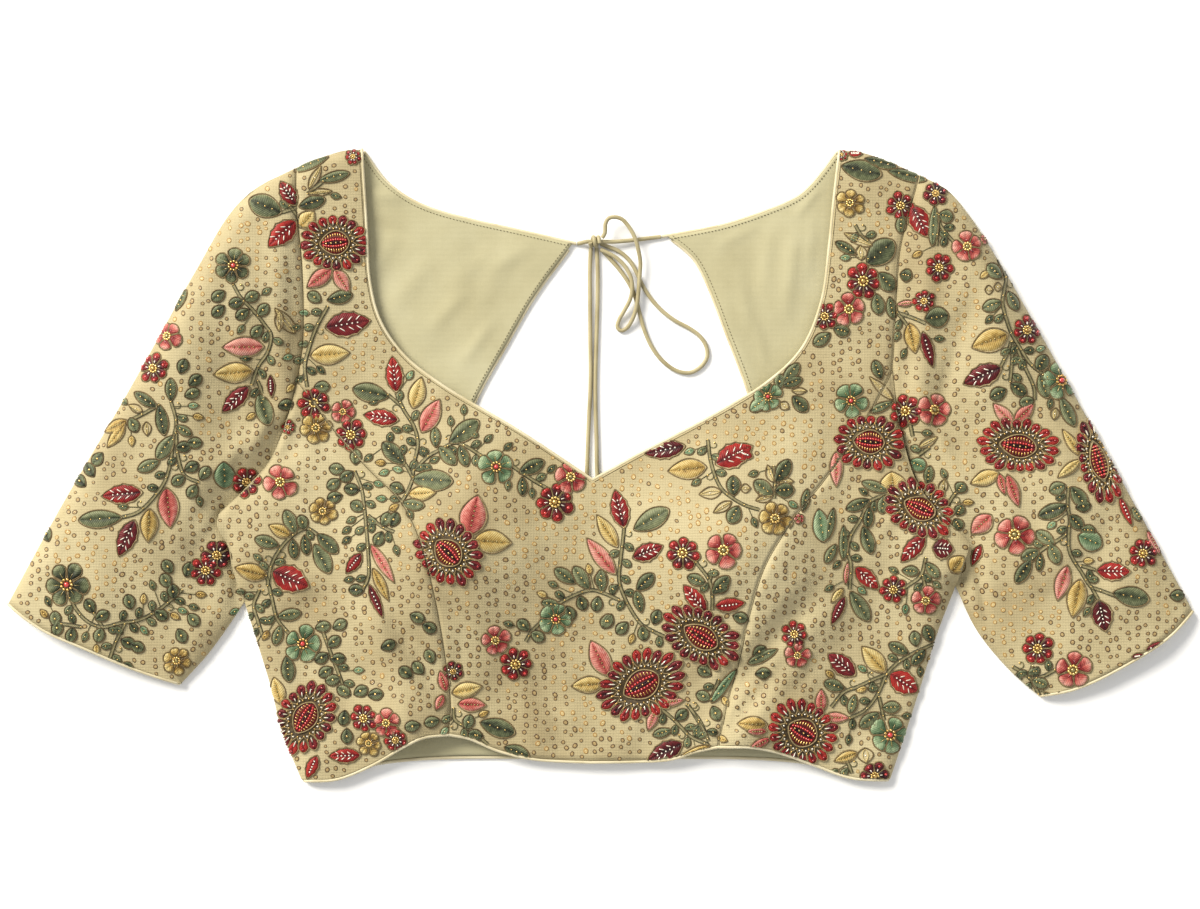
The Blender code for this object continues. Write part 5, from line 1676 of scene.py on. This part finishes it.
def cords(work, lines, half, rise, tone=0.5, closed=True, section=COUCHED):
    """Couched cords along lines."""
    across, crown = section
    if closed:
        ahead = np.roll(lines, -1, axis=1) - np.roll(lines, 1, axis=1)
    else:
        ahead = np.gradient(lines, axis=1)
    aside = leftward(unit(ahead))
    plan = lines[:, :, None] + aside[:, :, None] * across[:, None] * half
    copies, points = lines.shape[:2]
    lift = np.tile(crown * rise, points)
    tone = np.tile(np.broadcast_to(tone, across.shape), points)
    thread = np.stack(np.broadcast_arrays(run_along(lines[0])[:, None], across * half), axis=-1)
    faces = quads(points, len(across), closed)
    work.add(plan.reshape(copies, -1, 2), lift, tone, faces, thread.reshape(1, -1, 2))


def dome_faces(count, sides):
    """The faces of rings of points, with the last one closed."""
    i, j = (grid.ravel() for grid in np.meshgrid(np.arange(count - 1), np.arange(sides), indexing="ij"))
    k = (j + 1) % sides
    faces = np.stack([i * sides + j, i * sides + k, (i + 1) * sides + k, (i + 1) * sides + j], axis=1)
    last = (count - 1) * sides
    cap = [[last, last + n, last + n + 1, last + n + 2] for n in range(1, sides - 2, 2)]
    return np.vstack([faces, cap])


def domes(work, centres, radius, rings, sides, tones, stretch=1.0, turn=0.0, sit=0.0):
    """Rings of points round each middle, closed on top: radius shares and lifts, above their seat."""
    centres = np.asarray(centres, float).reshape(-1, 2)
    radius = np.broadcast_to(radius, len(centres))[:, None]
    angle = 2 * math.pi * np.arange(sides) / sides
    ring = np.array([[share * np.cos(angle), share * np.sin(angle)] for share, _ in rings])
    ring = np.swapaxes(ring, 1, 2).reshape(-1, 2)
    stretch = np.broadcast_to(stretch, len(centres))[:, None]
    turn = np.broadcast_to(turn, len(centres))[:, None]
    x, y = ring[:, 0] * radius * stretch, ring[:, 1] * radius
    plan = centres[:, None] + np.stack(
        [x * np.cos(turn) - y * np.sin(turn), x * np.sin(turn) + y * np.cos(turn)], axis=-1
    )
    lift = np.repeat([rise for _, rise in rings], sides) * radius + sit
    work.add(plan, lift, np.repeat(tones, sides), dome_faces(len(rings), sides), whole=True)


def beads(work, centres, radius, tone=0.5, sit=0.0):
    """Round beads, whose tone runs from dark at the foot to light on top: painted shade and painted
    highlight.
    """
    # The lowest ring is painted shade and the top ring a painted highlight.
    domes(work, centres, radius, BEAD_RINGS, BEAD_SIDES, [tone - 0.2, tone, tone + 0.3], sit=sit)


def leaf_rows(kind):
    """Base, tip and width of each leaf of a colour, in the plan."""
    rows = []
    for row in LEAVES[kind]:
        long = math.hypot(row[2] - row[0], row[3] - row[1])
        rows.append(row if len(row) > 4 else (*row, LEAF_SHARE * long))
    table = np.array(rows, float)
    return at(table[:, :2]), at(table[:, 2:4]), table[:, 4] * PIXEL


def vein_dark(t, s):
    """Tone of green leaves: darkest along the middle, lighter towards the edge and the tip."""
    return np.clip(0.1 + 0.7 * np.abs(s) + 0.2 * t, 0, 1)


def tip_light(t, s):
    """Tone of coloured leaves: dark along the middle, light towards the edges and tip."""
    return np.clip(0.05 + 0.75 * np.abs(s) ** 0.7 + 0.3 * t - 0.25 * np.abs(s) ** 6, 0, 1)


def petal_light(t, s):
    """Tone of petals: deep at the base, pale at the rim."""
    return np.clip(1.25 * t**1.5 - 0.2 * np.abs(s) - 0.1, 0, 1)


def leaves(kits):
    """Coloured leaves with a row of beads, green ones with three, and loops with a gold inner edge."""
    for kind in ("red", "maroon", "pink", "gold"):
        base, tip, width = leaf_rows(kind)
        form = "notched" if kind in ("red", "maroon") else "leaf"
        fills(kits[kind], base, tip, width, form, FILL_RISE, tip_light)
        cords(kits["cord"], edge_lines(base, tip, width, form, 0.55, 28), CORD_HALF, CORD_RISE)
        vein_beads(kits, kind, base, tip, width)
    for kind in ("sage", "mint"):
        base, tip, width = leaf_rows(kind)
        fills(kits[kind], base, tip, width, "round", FILL_RISE, vein_dark)
        cords(kits["cord"], edge_lines(base, tip, width, "round", 0.4), CORD_HALF, CORD_RISE, 0.35)
        for share in GREEN_BEAD_PLACES:
            radius = 0.62 - 0.3 * abs(share - 0.5)
            beads(kits["bead_gold"], base + share * (tip - base), radius, sit=0.45)
    base, tip, width = leaf_rows("loop")
    cords(kits["cord"], edge_lines(base, tip, width, "leaf", 0.0), 0.5, CORD_RISE, 0.4)
    cords(kits["gold"], edge_lines(base, tip, 0.55 * width, "leaf", -0.9), 0.3, CORD_RISE, 0.9)
    beads(kits["bead_white"], base + 0.5 * (tip - base), 0.45)


def vein_beads(kits, kind, base, tip, width):
    """A row of beads along each middle vein, and slanting ones beside it on the broad red leaves."""
    along = tip - base
    colours = {"red": "bead_white", "maroon": "bead_white", "pink": "bead_olive", "gold": "bead_olive"}
    for share in VEIN_PLACES:
        beads(kits[colours[kind]], base + share * along, 0.55, 0.5, sit=0.65)
    if kind in ("pink", "gold"):
        return
    broad = width > BROAD_LEAF
    aside = leftward(unit(along))[broad] * width[broad, None]
    for share in SIDE_VEIN_PLACES:
        for hand in (-1, 1):
            start = base[broad] + share * along[broad] + hand * 0.1 * aside
            end = start + 0.12 * along[broad] + hand * 0.17 * aside
            bugles(kits["bead_white"], start, end, 0.7, sit=FILL_RISE)


def bugles(work, start, end, width, tone=0.55, sit=0.0):
    """Long glass beads."""
    width = np.full(len(start), width)
    section = (BUGLE_ACROSS, BUGLE_CROWN)
    fills(work, start, end, width, "bugle", BUGLE_RISE, tone, BUGLE_STEPS, section, sit)


def stem_line(row, step):
    """A stem with a point about every step, and its length from point to point."""
    points = at(np.reshape(row, (-1, 2)))
    long = np.linalg.norm(np.diff(points, axis=0), axis=1).sum()
    return smooth(points, even(max(4, int(long / step)))), long


def stem_walks():
    """Each stem with a point about every millimetre, the way ahead there, and its length."""
    for row in STEMS:
        line, long = stem_line(row, 1)
        yield line, unit(np.gradient(line, axis=0)), long


def stems(kits):
    """Stems of two cords side by side, with beads between them."""
    for row in STEMS:
        line, _ = stem_line(row, STEM_STEP)
        section = (STEM_ACROSS, STEM_CROWN)
        cords(kits["stem"], line[None], STEM_HALF, STEM_RISE, STEM_TONE, False, section)
        beads(kits["bead_gold"], line[::STEM_BEADS], 0.5, 0.6, sit=0.45)


def small_leaves(kits, kind, base, tip, width, row):
    """Small leaves with an edge and a bead each, sewn as a row of values says."""
    form, steps, rise, reach, edge_steps, half, edge_rise, tone, share, radius, sit = row
    width = np.full(len(base), width)
    fills(kits[kind], base, tip, width, form, rise, vein_dark, steps)
    cords(kits["cord"], edge_lines(base, tip, width, form, reach, edge_steps), half, edge_rise, tone)
    beads(kits["bead_gold"], base + share * (tip - base), radius, sit=sit)


def leaflets(kits):
    """Small round leaves, each of which points away from the nearest stem."""
    middles = at(LEAFLETS)
    near = np.vstack([smooth(at(np.reshape(row, (-1, 2))), even(STEM_READINGS)) for row in STEMS])
    gap = np.linalg.norm(middles[:, None] - near, axis=2)
    way = unit(middles - near[gap.argmin(axis=1)])
    base, tip = middles - way * LEAFLET_LENGTH / 2, middles + way * LEAFLET_LENGTH / 2
    small_leaves(kits, "sage", base, tip, LEAFLET_WIDTH, LEAFLET)


def is_free(cells, point):
    """Whether a plan point's square millimetre is free."""
    x, y = (point - PLAN_BOX[:2]).astype(int)
    return 0 <= x < cells.shape[0] and 0 <= y < cells.shape[1] and cells[x, y]


def taken(kits, clear):
    """Which square millimetres of the plan lie under needlework, or closer to it than clear."""
    x0, y0, x1, y1 = PLAN_BOX
    cells = np.zeros((x1 - x0, y1 - y0), bool)
    for work in kits.values():
        for plan in work.points:
            i = np.clip((plan - (x0, y0)).astype(int), 0, (x1 - x0 - 1, y1 - y0 - 1))
            cells[i[:, 0], i[:, 1]] = True
    grown = cells.copy()
    reach = int(clear) + 1
    for dx in range(-reach, reach + 1):
        for dy in range(-reach, reach + 1):
            if math.hypot(dx, dy) <= clear:
                grown |= np.roll(cells, (dx, dy), (0, 1))
    return grown


def free_beside_stems(kits, clear):
    """Which square millimetres are free of all needlework but the stems."""
    return ~taken({key: work for key, work in kits.items() if key != "stem"}, clear)


def sprigs(kits):
    """Little leaves by turns on either side of each stem, where nothing else is sewn."""
    free = free_beside_stems(kits, SPRIG_CLEAR)
    bases, tips = [], []
    for line, ahead, _ in stem_walks():
        for n, i in enumerate(range(SPRIG_START, len(line) - 2, SPRIG_PITCH)):
            hand = 1 if n % 2 else -1
            way = unit(SPRIG_LEAN * ahead[i] + hand * leftward(ahead[i]))
            start = line[i] + way * STEM_HALF
            if all(is_free(free, start + way * SPRIG_LENGTH * share) for share in (0.4, 0.75, 1)):
                bases.append(start)
                tips.append(start + way * SPRIG_LENGTH)
    small_leaves(kits, "sage", np.array(bases), np.array(tips), SPRIG_WIDTH, SPRIG)


def buds(kits, draw):
    """Small stalked leaves a little further from the stems, in what is still free."""
    free = ~taken(kits, BUD_CLEAR)
    found = {kind: [] for kind in ("sage", "gold", "mint")}
    for line, ahead, long in stem_walks():
        for i in draw.integers(1, len(line) - 1, int(long * BUDS_PER_MM)):
            hand, reach, kind = draw.choice((-1, 1)), draw.uniform(*BUD_REACH), draw.choice(BUD_KINDS)
            way = unit(hand * leftward(ahead[i]) + draw.uniform(*BUD_LEAN) * ahead[i])
            start, aside = line[i] + reach * way, leftward(way) * BUD_WIDTH / 2
            tip = start + way * BUD_LENGTH
            middle = (start + tip) / 2
            tests = (start, middle, tip, middle + aside, middle - aside)
            if all(is_free(free, point) for point in tests):
                found[kind].append((line[i] + way * STEM_HALF, start, tip))
                x, y = (middle - PLAN_BOX[:2]).astype(int)
                free[max(x - BUD_ROOM, 0):x + BUD_ROOM, max(y - BUD_ROOM, 0):y + BUD_ROOM] = False
    for kind, rows in found.items():
        foot, base, tip = (np.array(column) for column in zip(*rows))
        stalks = foot[:, None] + even(STALK_STEPS)[:, None] * (base - foot)[:, None]
        cords(kits["stem"], stalks, STALK_HALF, STALK_RISE, 0.5, False)
        small_leaves(kits, kind, base, tip, BUD_WIDTH, BUD)


def tendrils(kits):
    """Fine curls by turns on either side of each stem, where nothing else is sewn."""
    free = free_beside_stems(kits, TENDRIL_CLEAR)
    turn = np.linspace(0, TENDRIL_TURN, TENDRIL_POINTS)
    reach = TENDRIL_REACH * np.linspace(1, TENDRIL_END, TENDRIL_POINTS)
    for line, ahead, _ in stem_walks():
        for n, i in enumerate(range(TENDRIL_START, len(line) - 2, TENDRIL_PITCH)):
            hand = -1 if n % 2 else 1
            middle = line[i] + hand * leftward(ahead[i]) * TENDRIL_REACH * TENDRIL_OFF
            away = -hand * leftward(ahead[i])
            curl = np.cos(turn)[:, None] * away + np.sin(turn)[:, None] * ahead[i]
            curl = middle + curl * reach[:, None]
            if all(is_free(free, point) for point in curl[3:]):
                cords(kits["stem"], curl[None], TENDRIL_HALF, TENDRIL_RISE, 0.55, False)
                beads(kits["bead_gold"], curl[-1:], 0.65, 0.5, 0.1)


def flower(kits, kind, u, v, radius, draw):
    """Outlined petals, no two quite alike, round a beaded middle."""
    centre, radius = at((u, v)), radius * PIXEL
    count = PETALS[kind]
    start = draw.uniform(0, math.pi)
    angle = start + 2 * math.pi * (np.arange(count) + draw.uniform(-0.1, 0.1, count)) / count
    way = np.stack([np.cos(angle), np.sin(angle)], axis=1)
    long = radius * draw.uniform(0.9, 1.08, count)[:, None]
    base, tip = centre + PETAL_FOOT * radius * way, centre + long * way
    width = 2 * math.pi * 0.68 * radius / count * draw.uniform(0.88, 1.08, count)
    fills(kits[kind], base, tip, width, "petal", FILL_RISE, petal_light, SMALL_STEPS)
    edges = edge_lines(base, tip, width, "petal", 0.35, SMALL_STEPS)
    cords(kits["cord"], edges, CORD_HALF, CORD_RISE, 0.45)
    spots = {"petals": way, "ring": circle(RING_BEADS), "middle": np.zeros((1, 2))}
    (kit, near, far, thick, tone, sit), *rows = MIDDLES[kind]
    bugles(kits[kit], centre + near * radius * way, centre + far * radius * way, thick, tone, sit)
    for kit, spot, share, size, tone, sit in rows:
        beads(kits[kit], centre + share * radius * spots[spot], size * radius, tone, sit)


def flowers(kits, draw):
    """All flowers of the table."""
    for kind, u, v, radius in FLOWERS:
        flower(kits, kind, u, v, radius, draw)


def medallion_rim(kits, kind, centre, oval, short, draw):
    """Looped petals round an oval, with rays of long beads and two rows of round ones."""
    fine = np.linspace(0, 2 * math.pi, RIM_STEPS + 1)
    run = run_along(oval(fine, RIM_AT))
    count = int(run[-1] / RIM_PITCH)
    angle = np.interp(np.arange(count) / count * run[-1], run, fine)
    between = angle + math.pi / count
    width = np.full(count, RIM_PITCH * 0.96)
    own = draw.uniform(size=count) < RIM_OWN_COLOUR
    cords(kits["cord"], oval(fine, 0.6)[None, :-1], short * 0.3, 0.5, 0.05)
    spread = draw.uniform(0.93, 1.07, count)[:, None]
    outer = centre + (oval(angle, 1.0) - centre) * spread
    inner = oval(angle, RIM_FOOT)
    ray = outer - inner
    for shade, rows in ((kind, own), (OTHER_RED[kind], ~own)):
        start, end, wide = (inner + 0.2 * ray)[rows], outer[rows], 0.94 * width[rows]
        fills(kits[shade], start, end, wide, "round", 1.15, tip_light, SMALL_STEPS)
    cords(kits["cord"], edge_lines(inner, outer, width, "round", 0.3, 10), 0.42, 1.0, 0.75)
    beads(kits["bead_red"], inner + 0.76 * ray, 0.8, 0.3, 1.0)
    bugles(kits["bead_white"], inner + 0.16 * ray, inner + 0.52 * ray, 0.75, 0.4, 1.1)
    bugles(kits["bead_gold"], oval(between, 0.6), oval(between, 0.74), 0.7, 0.4, 0.7)
    beads(kits["bead_white"], oval(between, 0.545), 0.6, 0.4, 0.6)
    beads(kits["bead_gold"], oval(angle, 0.51), 0.6, 0.4, 0.6)


def medallion_eye(kits, kind, centre, axis, long, short):
    """A padded red eye, edged, with rows of red and gold beads on either side of a dark slit."""
    start, end = centre - axis * long * EYE_LONG, centre + axis * long * EYE_LONG
    wide = np.array([short * EYE_WIDE])
    fills(kits["red"], start, end, wide, "round", 1.0, 0.3)
    cords(kits["cord"], edge_lines(start, end, wide, "round", 0.2, 18), 0.5, 1.1, 0.8)
    along = np.linspace(0.12, 0.88, EYE_BEADS)[:, None]
    middle = start + along * (end - start)
    aside = leftward(axis) * wide[0] * profile("round", along)
    for hand in (-1, 1):
        near, far = middle + hand * 0.24 * aside, middle + hand * 0.42 * aside
        bugles(kits["bead_gold"], near, far, 0.8, 0.6, 0.8)
        beads(kits["bead_red"], middle + hand * 0.14 * aside, 0.75, 0.8, 0.8)
    slit = 0.1 * (end - start)
    fills(kits[OTHER_RED[kind]], start + slit, end - slit, 0.2 * wide, "leaf", 1.4, 0.1)
    beads(kits["bead_gold"], middle[1:-1:2], 0.6, 0.6, 1.3)


def medallion(kits, kind, u, v, long, short, turn, draw):
    """An oval of looped petals round an eye."""
    centre = at((u, v))
    long, short = long * PIXEL, short * PIXEL
    c, s = math.cos(math.radians(turn)), math.sin(math.radians(turn))

    def oval(angle, share):
        """Points of an oval at a share of the medallion's size."""
        x, y = long * share * np.cos(angle), short * share * np.sin(angle)
        return centre + np.stack([x * c - y * s, x * s + y * c], axis=-1)

    medallion_rim(kits, kind, centre, oval, short, draw)
    medallion_eye(kits, kind, centre, np.array([[c, s]]), long, short)


def medallions(kits, draw):
    """All medallions of the table."""
    for kind, *row in MEDALLIONS:
        medallion(kits, kind, *row, draw)


def sequins(kits, draw):
    """Scattered sequins: pale ones for painted light in the lit places, bronze ones for painted shade
    elsewhere.
    """
    x0, y0, x1, y1 = PLAN_BOX
    across, down = SEQUIN_PITCH
    x, y = np.meshgrid(np.arange(x0, x1, across), np.arange(y0, y1, down), indexing="ij")
    y = y.copy()
    y[1::2] += down / 2
    spots = np.stack([x.ravel(), y.ravel()], axis=1)
    spots += draw.uniform(-SEQUIN_SHIFT, SEQUIN_SHIFT, spots.shape)
    cell = np.clip((spots - (x0, y0)).astype(int), 0, (x1 - x0 - 1, y1 - y0 - 1))
    spots = spots[~taken(kits, SEQUIN_CLEAR)[cell[:, 0], cell[:, 1]]]
    # How much painted light falls on each sequin's place, which makes it take the pale copy.
    pale = np.zeros(len(spots))
    for u, v, reach in PAINTED_LIT_PLACES:
        gap = np.linalg.norm(spots - at((u, v)), axis=1) / (reach * PIXEL)
        pale += np.exp(-(gap**2))
    painted_lit = draw.uniform(size=len(spots)) < np.clip(1.3 * pale - 0.1, PAINTED_LIT_LEAST, PAINTED_LIT_MOST)
    size = SEQUIN_RADIUS * draw.uniform(*SEQUIN_SIZES, len(spots))
    stretch = draw.uniform(*SEQUIN_STRETCH, len(spots))
    turn = math.pi / 2 + draw.normal(0, SEQUIN_TURN, len(spots))
    form = (SEQUIN_RINGS, SEQUIN_SIDES, SEQUIN_TONES)
    # The pale copy is painted light, the bronze copy painted shade.
    for name, rows in (("sequin_lit_painted", painted_lit), ("sequin_shade_painted", ~painted_lit)):
        domes(kits[name], spots[rows], size[rows], *form, stretch[rows], turn[rows])


def topstitch():
    """Short stitches beside the piping of the keyhole and the back neck, on the lining."""
    work = Needlework("stitch_lining", "stitch")
    for side in OUTWARD:
        for name in ("back_neck", "keyhole"):
            line = shifted(outline(side, name, even(EDGE_STEPS)), STITCH_INSET, side)
            run = run_along(line)
            starts = np.arange(STITCH_START, run[-1] - STITCH_LENGTH, STITCH_PITCH)
            ends = [
                np.stack([np.interp(starts + share, run, line[:, k]) for k in (0, 1)], axis=1)
                for share in (0, STITCH_LENGTH)
            ]
            bugles(work, *ends, STITCH_WIDTH)
    work.make(Surface(LINING_GRIDS, range(len(LINING_GRIDS))))


def seams():
    """Thin brown lines of thread beside the seams and beside the neck piping."""
    work = Needlework("stitch_seam", "stitch")
    rows = (
        ("princess", SEAM_BESIDE), ("armhole", SEAM_BESIDE), ("armhole_low", SEAM_BESIDE),
        ("neckline", NECK_BESIDE), ("neckline", -NECK_BESIDE),
    )
    for side in OUTWARD:
        for name, beside in rows:
            line = shifted(outline(side, name, even(SEAM_LINE_STEPS)), beside, side)
            cords(work, line[None], SEAM_HALF_WIDTH, SEAM_RISE, 0.5, False)
    work.make(Surface(*zip(*CLOTH_GRIDS)))


KITS = ("sage", "mint", "red", "maroon", "pink", "gold", "cord", "stem")
BEAD_KITS = ("bead_red", "bead_gold", "bead_white", "bead_olive", "sequin_shade_painted", "sequin_lit_painted")


def needlework():
    """All motifs first, and then the sequins in what they leave free."""
    draw = np.random.default_rng(NEEDLE_SEED)
    kits = {kind: Needlework(f"stitch_{kind}", f"thread_{kind}") for kind in KITS}
    for kind in BEAD_KITS:
        kits[kind] = Needlework(kind, kind)
    stems(kits)
    leaves(kits)
    leaflets(kits)
    flowers(kits, draw)
    medallions(kits, draw)
    sprigs(kits)
    buds(kits, draw)
    tendrils(kits)
    sequins(kits, draw)
    surface = Surface(*zip(*CLOTH_GRIDS))
    for work in kits.values():
        work.make(surface)
    seams()
    topstitch()


FLOOR_SIZE = 4.0


def floor():
    """A plain white sheet, which isn't part of the blouse."""
    mesh = bpy.data.meshes.new("floor")
    half = FLOOR_SIZE / 2
    corners = [(-half, -half, 0), (half, -half, 0), (half, half, 0), (-half, half, 0)]
    mesh.from_pydata(corners, [], [(0, 1, 2, 3)])
    made = bpy.data.objects.new("floor", mesh)
    mesh.materials.append(floor_look())
    bpy.context.scene.collection.objects.link(made)


# Soft studio lights: name, direction it comes from, width in degrees, strength, colour.
LIGHTS = (
    ("key", (-0.9, 0.85, 0.8), 30, 5.6, (1.0, 0.96, 0.88)),
    ("fill", (0.9, -0.5, 1.2), 70, 0.55, (1.0, 1.0, 1.0)),
)
WORLD_LOW, WORLD_HIGH = 0.28, 0.56


def lights():
    """Distant lamps, as wide as soft boxes."""
    for name, direction, width, strength, colour in LIGHTS:
        data = bpy.data.lights.new(name, "SUN")
        data.angle = math.radians(width)
        data.energy = strength
        data.color = colour
        made = bpy.data.objects.new(name, data)
        made.rotation_euler = Vector(direction).to_track_quat("Z", "Y").to_euler()
        bpy.context.scene.collection.objects.link(made)


def world():
    """A pale room that is lighter overhead."""
    made = bpy.data.worlds.new("studio")
    made.use_nodes = True
    tree = made.node_tree
    tree.nodes["Background"].inputs["Strength"].default_value = 1
    across = tree.nodes.new("ShaderNodeTexCoord").outputs["Generated"]
    parts = tree.nodes.new("ShaderNodeSeparateXYZ")
    tree.links.new(across, parts.inputs[0])
    band = tree.nodes.new("ShaderNodeValToRGB")
    tree.links.new(parts.outputs["Z"], band.inputs["Fac"])
    band.color_ramp.elements[0].color = (WORLD_LOW, WORLD_LOW, WORLD_LOW, 1)
    band.color_ramp.elements[1].color = (WORLD_HIGH, WORLD_HIGH, WORLD_HIGH, 1)
    tree.links.new(band.outputs["Color"], tree.nodes["Background"].inputs["Color"])
    bpy.context.scene.world = made
    bpy.context.scene.view_settings.view_transform = "Standard"


def main():
    camera()
    tie()
    floor()
    lights()
    world()
    for side in OUTWARD:
        back(side)
        back_lining(side)
        sleeve(side)
        front_side(side)
        sleeve_piping(side)
    front_centre()
    neck_piping()
    keyhole_piping()
    hem_piping()
    needlework()


main()
